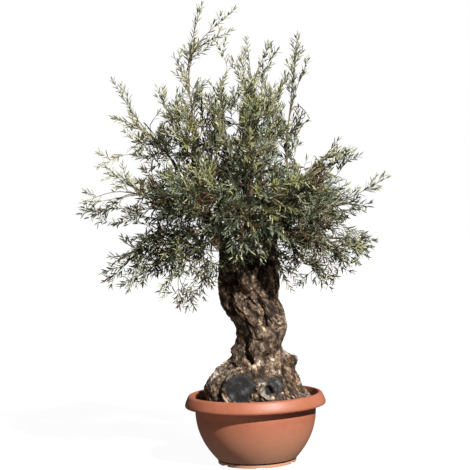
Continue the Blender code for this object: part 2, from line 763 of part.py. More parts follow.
def shoot_solid(shoot, tip, across, size):
    """A shoot that ends in a leaf, bent down or up square to its blade, whose point is the tip."""
    taper = tapering(SHOOT_RADIUS, SHOOT_TIP_RADIUS, shoot.length)
    line = [*shoot.line, shoot.line[-1].lerp(tip, LEAF_WIDEST), tip]
    share = math.sqrt(size / LEAF_LENGTH)
    halves = [0.87 * taper(mark) for mark in shoot.marks] + [LEAF_WIDTH / 2 * share, 0.0]
    depths = [1.5 * taper(mark) for mark in shoot.marks] + [LEAF_THICKNESS, 0.0]
    return three_sided(line, halves, depths, across)


def touches(points, half_width, others, gap):
    """Whether a line of points, that much wide either side, comes within a gap of other points and radii."""
    if not len(others[0]):
        return False
    apart = np.linalg.norm(np.array([tuple(p) for p in points])[:, None, :] - others[0][None], axis=2)
    return bool((apart < others[1][None] + half_width + gap).any())


def across_at(path, distance, turn):
    """A direction square to a path there, turned about it."""
    along = path.direction(distance)
    flat = along.orthogonal().normalized()
    return flat * math.cos(turn) + along.cross(flat) * math.sin(turn)


def leaves_on(path, stations, roll):
    """Root, direction and width direction of each side leaf of a shoot, in pairs that cross the ones below."""
    found = []
    for count, share in enumerate(stations):
        distance = path.length * share
        along = path.direction(distance)
        side = across_at(path, distance, roll + count * math.pi / 2)
        for sign in (1, -1):
            towards = (along * math.cos(LEAF_ANGLE) + sign * side * math.sin(LEAF_ANGLE)).normalized()
            found.append((path.point(distance), towards, along.cross(side).normalized()))
    return found


def grown_shoots(name, stem, space, limbs):
    """The shoots of a mass, each cut back until it keeps to the mass's own space and clear of every limb."""
    found = []
    for share, end, is_long, roll in shoot_aims(name):
        path = shoot_path(stem, share, end)
        stop = path.length
        while stop > SHORTEST_SHOOT:
            inside = [path.point(stop * step / 8) for step in range(9)]
            held = space.holds(inside, SPACE_MARGIN + SHOOT_RADIUS)
            if held and not touches(inside[2:], SHOOT_RADIUS, limbs, LIMB_CLEARANCE):
                size = min(LEAF_LENGTH, 0.72 * stop)
                shoot = in_pieces(path, 0.0, stop - size, LONG_SHOOT_PIECES if is_long else 1)
                stations = LONG_LEAF_STATIONS if is_long else LEAF_STATIONS
                found.append((shoot, path.point(stop), stations, roll, size))
                break
            stop -= 0.05 * path.length
    return found


def make_mass(name, stem, entry, space, limbs, finish):
    """One mass: shoots that leave one stem, with leaves fused on, all inside the mass's own space."""
    first = stem.direction(entry + SEAT_GAP)
    stem = in_pieces(stem, entry + SEAT_GAP, stem.length, STEM_PIECES)
    radius = tapering(ENTRY_RADIUS, STEM_TIP_RADIUS, stem.length)
    verts, faces = tube(stem.line, [radius(mark) for mark in stem.marks], BOUGH_SIDES - 1, first)
    mass = add_object(name, verts, faces, finish)
    parts = []
    lines = []
    shoots = grown_shoots(name, stem, space, limbs)
    for shoot, tip, _, _, size in shoots:
        across = shoot.direction(shoot.length).cross(tip - shoot.line[-1]).normalized()
        verts, faces = shoot_solid(shoot, tip, across, size)
        parts.append(add_object("shoot", verts, faces, finish))
        blade = [shoot.line[-1].lerp(tip, step / 8) for step in range(1, 9)]
        edges = [point + across * aside for point in blade[1:6] for aside in (-LEAF_EDGE, LEAF_EDGE)]
        middle = sampled(shoot, lambda place: 0.0, 0.0, shoot.length, 0.012)[0]
        lines.append(middle + [tuple(point) for point in blade + edges])
    taken = sampled(stem, radius, 0.0, stem.length, 0.012)[0]
    for own, (shoot, _, stations, roll, size) in enumerate(shoots):
        others = np.array(taken + [point for line in lines[:own] + lines[own + 1 :] for point in line])
        for root, towards, across in leaves_on(shoot, stations, roll):
            verts, faces = leaf_solid(root, towards, across, size)
            spine = [root + towards * size * step / 8 for step in range(1, 9)]
            outline = [point + across * aside for point in spine[1:6] for aside in (-LEAF_EDGE, LEAF_EDGE)]
            if not space.holds(verts, SPACE_MARGIN):
                continue
            if touches(spine, LEAF_WIDTH / 2, limbs, LIMB_CLEARANCE):
                continue
            if touches(spine[2:] + outline, 0.0, (others, np.zeros(len(others))), LEAF_GAP):
                continue
            parts.append(add_object("leaf", verts, faces, finish))
            lines[own] = lines[own] + [tuple(point) for point in spine[2:] + outline]
    return join_all(mass, parts)


def make_tree(bark, leaf):
    """The trunk, its limbs, the boughs on them and the masses at the boughs' ends."""
    hearts = np.array([MASSES[name][2] for name in MASSES])
    limbs = limb_paths()
    collars_of = {name: [] for name in LIMBS}
    points, radii = [], []
    for level in np.linspace(0.0, TRUNK_HEIGHT, 24):
        x, y, wide, _ = girth(level)
        points.append((x, y, SOIL_HEIGHT + level))
        radii.append(wide + 0.02)
    for path, radius in limbs.values():
        some, thick = sampled(path, radius, 0.0, path.length)
        points += some
        radii += thick
    paths = {}
    for name, (limb, share, heart, reach, _) in MASSES.items():
        paths[name] = bough_path(limbs[limb][0], share, heart, reach)
    boughs = {}
    for index, (name, (limb, share, heart, reach, _)) in enumerate(MASSES.items()):
        path = paths[name]
        space = Space(hearts, index)
        beside, thick = sampled(*limbs[limb], 0.0, limbs[limb][0].length)
        for other in MASSES:
            if other != name and MASSES[other][0] == limb:
                some, wide = sampled(paths[other], lambda place: BOUGH_RADIUS, 0.0, 0.5 * paths[other].length)
                beside += some
                thick += wide
        start = clear_of(path, np.array(beside), np.array(thick), BOUGH_RADIUS + 0.002)
        entry = max(entry_distance(path, space, reach), start + 0.03)
        taper = tapering(BOUGH_RADIUS, ENTRY_RADIUS, entry)
        boughs[name] = (path, start, entry, taper, space)
        verts, faces = stretch(path, 0.0, start, taper, BOUGH_SIDES)
        collars_of[limb].append(add_object("collar", verts, faces, bark))
        some, thick = sampled(path, taper, 0.0, entry)
        points += some
        radii += thick
    limbs_to_miss = (np.array(points), np.array(radii))
    feet = []
    for name, (path, radius) in limbs.items():
        verts, faces = stretch(path, 0.0, LIMB_COLLAR, radius, LIMB_SIDES)
        feet.append(add_object("foot", verts, faces, bark))
        verts, faces = stretch(path, LIMB_COLLAR + SEAT_GAP, path.length, radius, LIMB_SIDES)
        join_all(add_object(name, verts, faces, bark, math.radians(50)), collars_of[name])
    make_trunk(bark, feet)
    for name, (path, start, entry, taper, space) in boughs.items():
        verts, faces = stretch(path, start + SEAT_GAP, entry, taper, BOUGH_SIDES)
        add_object(name.replace("foliage", "bough"), verts, faces, bark, math.radians(50))
        make_mass(name, path, entry, space, limbs_to_miss, leaf)


clear_scene()
make_bowl(material("terracotta plastic", (0.52, 0.19, 0.10), 0.55))
make_soil(material("soil", (0.05, 0.032, 0.02), 0.95))
make_tree(material("bark", (0.20, 0.15, 0.11), 0.9), material("olive leaf", (0.12, 0.16, 0.08), 0.6))
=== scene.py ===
"""An old olive, trained as a bonsai in a moulded bowl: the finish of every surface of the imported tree."""

import math
import random

import bpy
import numpy as np
from mathutils import Matrix, Vector, noise


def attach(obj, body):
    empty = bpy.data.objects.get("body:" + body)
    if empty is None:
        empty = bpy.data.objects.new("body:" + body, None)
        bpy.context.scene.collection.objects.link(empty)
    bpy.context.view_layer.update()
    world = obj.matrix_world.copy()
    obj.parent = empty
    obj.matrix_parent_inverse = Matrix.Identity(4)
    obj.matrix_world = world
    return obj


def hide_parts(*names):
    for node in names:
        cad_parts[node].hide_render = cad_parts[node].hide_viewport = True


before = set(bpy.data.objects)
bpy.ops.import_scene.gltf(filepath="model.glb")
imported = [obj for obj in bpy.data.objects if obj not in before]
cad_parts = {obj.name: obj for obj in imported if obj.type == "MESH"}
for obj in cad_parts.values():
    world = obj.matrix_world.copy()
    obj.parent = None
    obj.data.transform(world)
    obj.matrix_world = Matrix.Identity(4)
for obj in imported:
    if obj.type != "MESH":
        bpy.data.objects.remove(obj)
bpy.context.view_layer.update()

# The bowl
# A wide planter, moulded in one piece from terracotta-coloured plastic: a flat foot with drain
# notches, a curved wall that turns upright and a deep rolled rim. Painted bounce light lifts its colour under
# the rim; low down it is paler with dust and painted bounce light from the floor.

BOWL_SIDES = 144
FOOT_RADIUS = 0.181
FOOT_HEIGHT = 0.016
SHOULDER_RADIUS = 0.279
SHOULDER_HEIGHT = 0.251
BELLY_POWER = 2.27  # how fast the wall turns upright
RIM_RADIUS = 0.3255
RIM_HEIGHT = 0.317
RIM_DEPTH = 0.055
LIP_RADIUS = 0.292
WALL = 0.006
FLOOR = 0.014
NOTCHES = 6
NOTCH_SIZE = (0.040, 0.024, 0.007)  # along the foot, into it, and up
NOTCH_OFFSET = math.radians(4)  # of the first one from the middle of the front
WALL_RINGS = 26
SHARP_ANGLE = math.radians(38)  # edges sharper than this show as edges
TERRACOTTA = ((0.32, 0.104, 0.054), (0.36, 0.120, 0.066), (0.40, 0.146, 0.086))  # dark, usual and pale
BOUNCE_LIT_TERRACOTTA = (0.46, 0.155, 0.082)  # painted bounce light under the rim, where the rim's shadow falls
# dust, and painted bounce light from the floor, paler towards the foot
DUST_AND_BOUNCE = (0.57, 0.285, 0.180)
SCUFF = (0.50, 0.29, 0.21)


def deselect_all():
    bpy.ops.object.select_all(action="DESELECT")


def bowl_radius(height):
    """Outer radius of the bowl's wall below the rim."""
    rise = (height - FOOT_HEIGHT) / (SHOULDER_HEIGHT - FOOT_HEIGHT)
    rise = min(max(rise, 0.0), 1.0)
    return FOOT_RADIUS + (SHOULDER_RADIUS - FOOT_RADIUS) * (1 - (1 - rise) ** BELLY_POWER)


def bowl_profile():
    """The bowl's outline as (radius, height), from the foot's edge over the rim and down to its floor."""
    rim_foot = RIM_HEIGHT - RIM_DEPTH
    outside = [(bowl_radius(level), level) for level in np.linspace(FOOT_HEIGHT, SHOULDER_HEIGHT, WALL_RINGS)]
    band = [
        (SHOULDER_RADIUS + 0.001, rim_foot + 0.002),
        (SHOULDER_RADIUS + 0.004, rim_foot),
        (RIM_RADIUS - 0.009, rim_foot),
        (RIM_RADIUS - 0.003, rim_foot + 0.002),
        (RIM_RADIUS, rim_foot + 0.007),
        (RIM_RADIUS, rim_foot + 0.012),
        (RIM_RADIUS - 0.005, rim_foot + 0.028),
        (RIM_RADIUS - 0.012, RIM_HEIGHT - 0.012),
        (RIM_RADIUS - 0.015, RIM_HEIGHT - 0.006),
        (RIM_RADIUS - 0.019, RIM_HEIGHT - 0.002),
        (RIM_RADIUS - 0.024, RIM_HEIGHT),
        (LIP_RADIUS + 0.004, RIM_HEIGHT),
        (LIP_RADIUS + 0.001, RIM_HEIGHT - 0.001),
        (LIP_RADIUS, RIM_HEIGHT - 0.004),
        (SHOULDER_RADIUS - WALL, SHOULDER_HEIGHT + 0.012),
    ]
    inside = [(radius - WALL, height) for radius, height in reversed(outside) if height > FLOOR]
    return [(FOOT_RADIUS - 0.001, 0.001), (FOOT_RADIUS, 0.003), *outside, *band, *inside]


def add_node(finish, kind, **values):
    """A shader node of a finish, with values set on its sockets."""
    made = finish.node_tree.nodes.new(kind)
    for name, value in values.items():
        made.inputs[name.replace("_", " ")].default_value = value
    return made


def new_finish(name, roughness):
    """A material with one shader, and its Object coordinates."""
    finish = bpy.data.materials.new(name)
    finish.use_nodes = True
    shader = finish.node_tree.nodes["Principled BSDF"]
    shader.inputs["Roughness"].default_value = roughness
    return finish, shader, add_node(finish, "ShaderNodeTexCoord").outputs["Object"]


def join_up(finish, source, target):
    finish.node_tree.links.new(source, target)


def noise_pattern(finish, place, size, detail=4.0, rough=0.55):
    """A cloudy pattern from 0 to 1 whose largest forms are that many metres across."""
    made = add_node(finish, "ShaderNodeTexNoise", Scale=1 / size, Detail=detail, Roughness=rough)
    join_up(finish, place, made.inputs["Vector"])
    return made.outputs["Fac"]


def colour_ramp(finish, value, *stops):
    """Colours at places between 0 and 1, read by a value. A plain number stands for a grey."""
    made = finish.node_tree.nodes.new("ShaderNodeValToRGB")
    ends = made.color_ramp.elements
    while len(ends) < len(stops):
        ends.new(0.5)
    for end, (place, colour) in zip(ends, stops):
        end.position = place
        end.color = (*colour, 1.0) if isinstance(colour, tuple) else (colour, colour, colour, 1.0)
    join_up(finish, value, made.inputs["Fac"])
    return made.outputs["Color"]


def blended(finish, share, first, second, kind="MIX"):
    """Two colours mixed by a share, each a socket or a plain colour."""
    made = finish.node_tree.nodes.new("ShaderNodeMix")
    made.data_type = "RGBA"
    made.blend_type = kind
    made.clamp_factor = True
    for place, value in ((0, share), (6, first), (7, second)):
        if isinstance(value, bpy.types.NodeSocket):
            join_up(finish, value, made.inputs[place])
        elif place:
            made.inputs[place].default_value = (*value, 1.0)
        else:
            made.inputs[place].default_value = value
    return made.outputs[2]


def add_bump(finish, shader, height, depth):
    """Fine relief, too small to model, from a pattern of heights."""
    made = add_node(finish, "ShaderNodeBump", Strength=1.0, Distance=depth)
    join_up(finish, height, made.inputs["Height"])
    join_up(finish, made.outputs["Normal"], shader.inputs["Normal"])


def terracotta_finish():
    """Matte terracotta plastic: painted bounce light lifts it under the rim, in the rim's shadow, and dust
    with painted bounce light from the floor makes it paler lower down.
    """
    finish, shader, place = new_finish("terracotta_plastic", 0.50)
    clouds = noise_pattern(finish, place, 0.16, detail=5.0)
    base = colour_ramp(finish, clouds, *zip((0.30, 0.52, 0.74), TERRACOTTA))
    parts = finish.node_tree.nodes.new("ShaderNodeSeparateXYZ")
    join_up(finish, place, parts.inputs["Vector"])
    span = add_node(finish, "ShaderNodeMapRange", From_Max=RIM_HEIGHT)
    join_up(finish, parts.outputs["Z"], span.inputs["Value"])
    height = span.outputs["Result"]
    # painted bounce light: a lighter band under the rim, where its shadow falls
    painted_bounce_band = colour_ramp(finish, height, (0.68, 0.0), (0.76, 0.8), (0.82, 0.8), (0.84, 0.0))
    bounce_lit = blended(finish, painted_bounce_band, base, BOUNCE_LIT_TERRACOTTA)
    # paler towards the foot: dust and painted bounce light from the floor
    dust_and_bounce = blended(finish, colour_ramp(finish, height, (0.05, 0.90), (0.20, 0.65), (0.66, 0.0)), bounce_lit, DUST_AND_BOUNCE)
    marks = colour_ramp(finish, noise_pattern(finish, place, 0.030, 6.0, 0.8), (0.58, 0.0), (0.74, 0.35))
    join_up(finish, blended(finish, marks, dust_and_bounce, SCUFF), shader.inputs["Base Color"])
    add_bump(finish, shader, noise_pattern(finish, place, 0.050, detail=2.0), 0.0006)
    return finish


def extrude_rings(profile):
    """In edit mode, carries the selected face along a profile of (radius, height), ring by ring."""
    radius, height = profile[0]
    for next_radius, next_height in profile[1:]:
        bpy.ops.mesh.extrude_region_move(TRANSFORM_OT_translate={"value": (0.0, 0.0, next_height - height)})
        share = next_radius / radius
        bpy.ops.transform.resize(value=(share, share, 1.0), center_override=(0.0, 0.0, next_height))
        radius, height = next_radius, next_height


deselect_all()
profile = [(FOOT_RADIUS - 0.004, 0.0), *bowl_profile()]
bpy.ops.mesh.primitive_circle_add(vertices=BOWL_SIDES, radius=profile[0][0], fill_type="NGON")
bowl = bpy.context.object
bowl.name = "moulded_bowl"
bpy.ops.object.mode_set(mode="EDIT")
bpy.ops.mesh.select_all(action="SELECT")
extrude_rings(profile)
bpy.ops.mesh.extrude_region_move(TRANSFORM_OT_translate={"value": (0.0, 0.0, FLOOR - profile[-1][1])})
bpy.ops.mesh.select_all(action="SELECT")
bpy.ops.mesh.normals_make_consistent(inside=False)
bpy.ops.object.mode_set(mode="OBJECT")
for notch in range(NOTCHES):
    turn = math.tau * notch / NOTCHES - math.pi / 2 + NOTCH_OFFSET
    deselect_all()
    bpy.ops.mesh.primitive_cube_add(
        size=1.0,
        location=(FOOT_RADIUS * math.cos(turn), FOOT_RADIUS * math.sin(turn), 0.0),
        rotation=(0.0, 0.0, turn),
        scale=(2 * NOTCH_SIZE[1], NOTCH_SIZE[0], 2 * NOTCH_SIZE[2]),
    )
    cutter = bpy.context.object
    bpy.context.view_layer.objects.active = bowl
    cut = bowl.modifiers.new("Drain notch", "BOOLEAN")
    cut.operation = "DIFFERENCE"
    cut.object = cutter
    bpy.ops.object.modifier_apply(modifier=cut.name)
    bpy.data.objects.remove(cutter)
deselect_all()
bowl.select_set(True)
bpy.context.view_layer.objects.active = bowl
bpy.ops.object.shade_smooth_by_angle(angle=SHARP_ANGLE)
bowl.data.materials.append(terracotta_finish())
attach(bowl, "root")
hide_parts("bowl")

# The soil
# Dark potting soil that fills the bowl to just under its rim, lumpy, with crumbs, bits of bark
# and straw lying on it. The old stump covers most of it.

SOIL_HEIGHT = 0.285
SOIL_RADIUS = 0.2790
SOIL_EDGE = SOIL_HEIGHT - 0.004  # where it meets the wall
SOIL_FOOT_RADIUS = 0.182
SOIL_FOOT = FLOOR + 0.0005
SOIL_GAP = 0.0008  # to the wall
SOIL_SIDES = 96
SOIL_RINGS = 44  # across its top, from the wall to the middle
SOIL_RING_WIDTH = 0.0207 * SOIL_RADIUS
SOIL_LUMPS = ((0.006, 0.060, 4.2), (0.004, 0.022, 8.1))  # height, size and seed
SOIL_CRUMBS = 2600
CRUMB_SIZE = (0.003, 0.011)
SOIL_STRAWS = 240
STRAW_SIZE = ((0.012, 0.038), (0.0015, 0.004), (0.001, 0.002))  # length, width and thickness


def soil_finish():
    """Damp dark crumbs among dry, paler ones."""
    finish, shader, place = new_finish("potting_soil", 0.95)
    soil_colours = colour_ramp(
        finish, noise_pattern(finish, place, 0.014, 5.0, 0.7),
        (0.34, (0.018, 0.011, 0.007)), (0.52, (0.070, 0.043, 0.026)), (0.70, (0.20, 0.135, 0.085)),
    )
    join_up(finish, soil_colours, shader.inputs["Base Color"])
    add_bump(finish, shader, noise_pattern(finish, place, 0.005, 4.0, 0.7), 0.0015)
    return finish


def straw_finish():
    """Dry straw and split bark, bleached in streaks."""
    finish, shader, place = new_finish("dry_straw", 0.85)
    streaks = colour_ramp(
        finish, noise_pattern(finish, place, 0.020, detail=3.0),
        (0.35, (0.20, 0.12, 0.055)), (0.55, (0.42, 0.30, 0.16)), (0.75, (0.60, 0.50, 0.32)),
    )
    join_up(finish, streaks, shader.inputs["Base Color"])
    return finish


def lumps(point, size, seed=0.0):
    """Smooth noise about zero, with forms of that size."""
    return noise.noise((point[0] / size + seed, point[1] / size, point[2] / size))


def soil_level(x, y):
    """Height of the soil's lumpy top."""
    rough = sum(rise * lumps((x, y, 0.0), size, seed) for rise, size, seed in SOIL_LUMPS)
    return SOIL_HEIGHT - 0.001 + rough


def mesh_object(name, points, faces, finishes, numbers=None):
    """An object from arrays of points and faces, with its finishes and which of them each face has."""
    mesh = bpy.data.meshes.new(name)
    mesh.from_pydata(points, [], faces)
    for finish in finishes:
        mesh.materials.append(finish)
    if numbers is not None:
        mesh.polygons.foreach_set("material_index", numbers)
    made = bpy.data.objects.new(name, mesh)
    bpy.context.scene.collection.objects.link(made)
    return made


def add_crumbs(name, finish, count, seed, make_size, rise):
    """Small six-sided bits, strewn over the soil by a seeded rule and joined as one piece.

    Each has a size of its own, and its middle lies above the soil by its height times the rise.
    """
    draw = random.Random(seed)
    corners = np.array([(x, y, z) for x in (-1, 1) for y in (-1, 1) for z in (-1, 1)], float)
    sides = ((0, 1, 3, 2), (4, 6, 7, 5), (0, 4, 5, 1), (2, 3, 7, 6), (0, 2, 6, 4), (1, 5, 7, 3))
    points, faces = [], []
    for bit in range(count):
        radius = SOIL_RADIUS * 0.99 * math.sqrt(draw.uniform(0.12, 1.0))
        angle = draw.uniform(0.0, math.tau)
        size = np.array(make_size(draw))
        middle = (radius * math.cos(angle), radius * math.sin(angle))
        turned = Matrix.Rotation(draw.uniform(0, math.tau), 3, "Z")
        turned = turned @ Matrix.Rotation(draw.uniform(-0.4, 0.4), 3, "X")
        rough = np.array([[draw.uniform(0.65, 1.0) for _ in range(3)] for _ in range(8)])
        shaped = (corners * rough * size / 2) @ np.array(turned).T
        shaped += np.array((*middle, soil_level(*middle) + rise * size[2]))
        faces += [tuple(8 * bit + corner for corner in side) for side in sides]
        points += shaped.tolist()
    made = mesh_object(name, points, faces, [finish])
    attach(made, "root")
    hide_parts("soil")


def crumb_size(draw):
    across = draw.uniform(*CRUMB_SIZE)
    return (across, across * draw.uniform(0.6, 1.0), across * draw.uniform(0.5, 0.9))


def straw_size(draw):
    return [draw.uniform(*span) for span in STRAW_SIZE]


deselect_all()
bpy.ops.mesh.primitive_circle_add(
    vertices=SOIL_SIDES, radius=SOIL_FOOT_RADIUS, fill_type="NGON", location=(0.0, 0.0, SOIL_FOOT)
)
soil = bpy.context.object
soil.name = "potting_soil"
bpy.ops.object.transform_apply(location=True)
bpy.ops.object.mode_set(mode="EDIT")
bpy.ops.mesh.select_all(action="SELECT")
levels = np.linspace(SOIL_FOOT, SHOULDER_HEIGHT, 8)[1:]
sides = [(bowl_radius(level) - WALL - SOIL_GAP, level) for level in levels]
extrude_rings([(SOIL_FOOT_RADIUS, SOIL_FOOT), *sides, (SOIL_RADIUS, SOIL_EDGE)])
for _ in range(SOIL_RINGS):
    bpy.ops.mesh.inset(thickness=SOIL_RING_WIDTH, use_boundary=True)
bpy.ops.object.mode_set(mode="OBJECT")
for vert in soil.data.vertices:
    if vert.co.z > SOIL_EDGE - 0.001:
        vert.co.z = soil_level(vert.co.x, vert.co.y)
soil.data.shade_smooth()
soil.data.materials.append(soil_finish())
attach(soil, "root")
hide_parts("soil")

add_crumbs("soil_crumbs", soil.data.materials[0], SOIL_CRUMBS, 11, crumb_size, rise=0.30)
add_crumbs("soil_straw", straw_finish(), SOIL_STRAWS, 12, straw_size, rise=2.0)

# The trunk
# A very old stump, hollowed and twisted, from its flat cut on the soil to the fork, with its three
# limbs. Strands of wood wind up it under plates of bark, burls stand out between them, and three
# roots are sawn off flat, dark with age inside a rolled callus.

SOIL_TOP = SOIL_HEIGHT + 0.0003
TRUNK_HEIGHT = 0.685
CROWN_OF_TRUNK = 0.080  # the height over which the top rounds off
STRANDS = 5
STRAND_DEPTH = 0.008
STRAND_LEVEL = 0.6  # the share of it that lies inside the girth
STRAND_TWIST = -2.7  # radians per metre
BLUNTNESS = 1.5  # of burls: 1 is a soft swelling, more is a block with rounded edges
TRUNK_SIDES = 420
TRUNK_RINGS = 320
GRAIN_RUN = 0.45  # how far patterns are drawn out along the strands: less is further
VOXEL = 0.0038  # of the one skin over trunk and limbs
LIMB_PIECES = 9  # as in the source, whose boughs start from these lines
FINE_LIMB_PIECES = 40
FLAT_FOOT = 0.03  # the share of the ball's rings that makes the flat cut
CUT_REACH = 1.25  # how far past its radius a saw cut goes
PLAIN_ROLL = 0.008  # the widest callus of a sound root: that of the hollow one is wider
PAINTED_SHADE_OFFSET = np.array((0.020, 0.0, 0.022))  # of the painted shade, as dark as the sawn wood, from the middle of the hollow root
PAINTED_SHADE_REACH = 0.046
FOLD_NOISE = ((0.011, 0.062, 3.1), (0.010, 0.028, 9.4))  # depth, size and seed
MEAN_FOLD = 0.0055
RIDGE_DEPTH = 0.0042
PLATE_DEPTH = 0.0036
FLAKE_DEPTH = 0.0016
FACE_DEPTH = 0.0035  # how far back the wood of a sawn face lies
CALLUS_RISE = 0.62  # of its own width
WEATHERED = (0.205, 0.180, 0.158)
LICHEN = (0.36, 0.225, 0.080)
BLEACHED = (0.58, 0.54, 0.51)

# Height above the soil, centre x and y, half width and half depth
TRUNK_GIRTHS = np.array((
    (0.000, 0.010, -0.004, 0.217, 0.188),
    (0.055, 0.000, -0.004, 0.192, 0.176),
    (0.115, 0.008, 0.000, 0.164, 0.152),
    (0.165, 0.014, 0.002, 0.141, 0.130),
    (0.215, 0.019, 0.004, 0.117, 0.112),
    (0.265, 0.027, 0.004, 0.104, 0.102),
    (0.315, 0.038, 0.002, 0.112, 0.102),
    (0.365, 0.030, 0.000, 0.122, 0.107),
    (0.415, 0.009, 0.000, 0.134, 0.113),
    (0.472, -0.013, 0.002, 0.134, 0.116),
    (0.532, -0.014, 0.004, 0.139, 0.118),
    (0.600, -0.010, 0.006, 0.140, 0.120),
    (0.700, -0.008, 0.008, 0.140, 0.116),
))

# Degrees round from +x, height above the soil, width, height of the form, and how far it stands out
BURLS = (
    (185, 0.094, 0.085, 0.048, 0.050),  # left root knob
    (186, 0.020, 0.070, 0.040, 0.022),  # left toe
    (182, 0.156, 0.034, 0.026, 0.026),  # left step
    (-172, 0.240, 0.028, 0.024, 0.020),  # left upper nub
    (-7, 0.186, 0.046, 0.034, 0.054),  # right shelf
    (-4, 0.100, 0.070, 0.056, 0.030),  # right haunch
    (-2, 0.010, 0.070, 0.036, 0.034),  # right toe
    (-115, 0.070, 0.085, 0.085, 0.046),  # sawn root, front left
    (-70, 0.056, 0.072, 0.064, 0.040),  # sawn roots, front right
    (-94, 0.128, 0.026, 0.045, -0.012),  # dip between the sawn roots
    (-50, 0.385, 0.034, 0.030, 0.010),  # knob on the elbow
    (-22, 0.325, 0.050, 0.045, 0.007),  # elbow
    (-20, 0.268, 0.040, 0.030, 0.008),
    (-104, 0.258, 0.034, 0.028, 0.015),  # lobe above the hollow
    (-78, 0.232, 0.040, 0.026, 0.008),  # lump at the waist
    (196, 0.445, 0.035, 0.030, 0.006),  # left shoulder
    (-90, 0.560, 0.040, 0.052, 0.036),  # burl between the limbs
    (-77, 0.594, 0.014, 0.014, 0.018),  # knob on that burl
    (-52, 0.560, 0.042, 0.060, -0.034),  # recess right of that burl
    (-124, 0.585, 0.034, 0.075, -0.038),  # recess left of that burl
    (-90, 0.680, 0.080, 0.050, -0.040),  # the fork's hollow above it
    (-95, 0.281, 0.018, 0.010, -0.022),  # small hollow at the waist
    (-63, 0.205, 0.030, 0.018, -0.012),  # dent in the base
    (-145, 0.050, 0.020, 0.050, -0.056),  # gap between two roots
    (70, 0.060, 0.060, 0.060, 0.028),  # back root, right
    (118, 0.120, 0.050, 0.060, 0.024),  # back root, left
    (95, 0.330, 0.050, 0.090, -0.018),  # groove at the back
    (60, 0.470, 0.036, 0.060, 0.016),
    (140, 0.500, 0.036, 0.080, 0.012),
    (100, 0.580, 0.030, 0.070, -0.030),
)

# Folds: places they pass as (degrees round, height above the soil), half width, and how far they stand out
FOLDS = (
    # The belly, the right strand, the left strand and the groove beside that one
    (((-115, 0.480), (-114, 0.426), (-109, 0.379), (-100, 0.333), (-88, 0.295), (-80, 0.250)), 0.032, 0.016),
    (((-62, 0.470), (-46, 0.443), (-34, 0.410), (-30, 0.361), (-28, 0.320), (-42, 0.270)), 0.026, 0.010),
    (((-157, 0.516), (-157, 0.470), (-160, 0.405), (-164, 0.339)), 0.020, 0.003),
    (
        ((-135, 0.540), (-142, 0.440), (-146, 0.371), (-142, 0.331), (-134, 0.290), (-124, 0.251)),
        0.018, -0.026,
    ),
    (((-122, 0.246), (-113, 0.214), (-103, 0.184)), 0.012, -0.080),  # the hollow
    (((-89, 0.474), (-99, 0.464), (-111, 0.444)), 0.006, -0.013),  # scar like an upturned V
    (((-89, 0.474), (-84, 0.458), (-79, 0.432)), 0.006, -0.013),
    (((-99, 0.452), (-100, 0.430), (-106, 0.416)), 0.006, -0.010),
    (((-72, 0.486), (-68, 0.434), (-69, 0.399), (-73, 0.350)), 0.010, -0.026),  # cleft, front right
    (((-57, 0.386), (-44, 0.363), (-24, 0.380), (-10, 0.384)), 0.005, -0.012),  # folds on the elbow
    (((-70, 0.346), (-55, 0.325), (-26, 0.346)), 0.005, -0.010),
    (((-51, 0.402), (-53, 0.365), (-62, 0.325), (-54, 0.282)), 0.006, -0.012),
    (((-104, 0.140), (-85, 0.136), (-62, 0.148), (-40, 0.140)), 0.008, -0.008),
    (((-152, 0.172), (-135, 0.162), (-118, 0.168), (-104, 0.158)), 0.008, -0.014),
    (((-88, 0.190), (-84, 0.230), (-70, 0.270)), 0.008, -0.007),
    (((-40, 0.050), (-36, 0.120), (-44, 0.190)), 0.010, -0.012),
    (((171, 0.040), (172, 0.130), (166, 0.210)), 0.012, -0.020),
    (((95, 0.000), (92, 0.100), (80, 0.200), (70, 0.300)), 0.014, -0.022),
    (((35, 0.020), (42, 0.120), (36, 0.220), (30, 0.340)), 0.012, -0.018),
    (((120, 0.300), (122, 0.400), (110, 0.500)), 0.012, -0.020),
)

# Roots sawn off flat: degrees round, height, radius of the cut, its distance from the axis, tilt up, callus
SAWN_ROOTS = (
    (-113, 0.082, 0.068, 0.186, 8, 0.008),
    (-74, 0.062, 0.020, 0.194, 4, 0.016),
    (-56, 0.088, 0.034, 0.180, 12, 0.006),
)

# Limbs: points on the axis, then the radius at either end
LIMBS = {
    "left_limb": (
        ((-0.086, 0.000, 0.84), (-0.098, 0.000, 0.96), (-0.150, -0.008, 1.06), (-0.202, 0.000, 1.17)),
        0.060, 0.024,
    ),
    "right_limb": (
        ((0.078, 0.000, 0.84), (0.094, 0.000, 0.96), (0.108, 0.004, 1.06), (0.150, 0.008, 1.15)),
        0.050, 0.024,
    ),
    "back_limb": (
        ((-0.004, 0.050, 0.84), (-0.006, 0.082, 0.95), (0.000, 0.112, 1.05), (0.010, 0.125, 1.17)),
        0.054, 0.022,
    ),
}


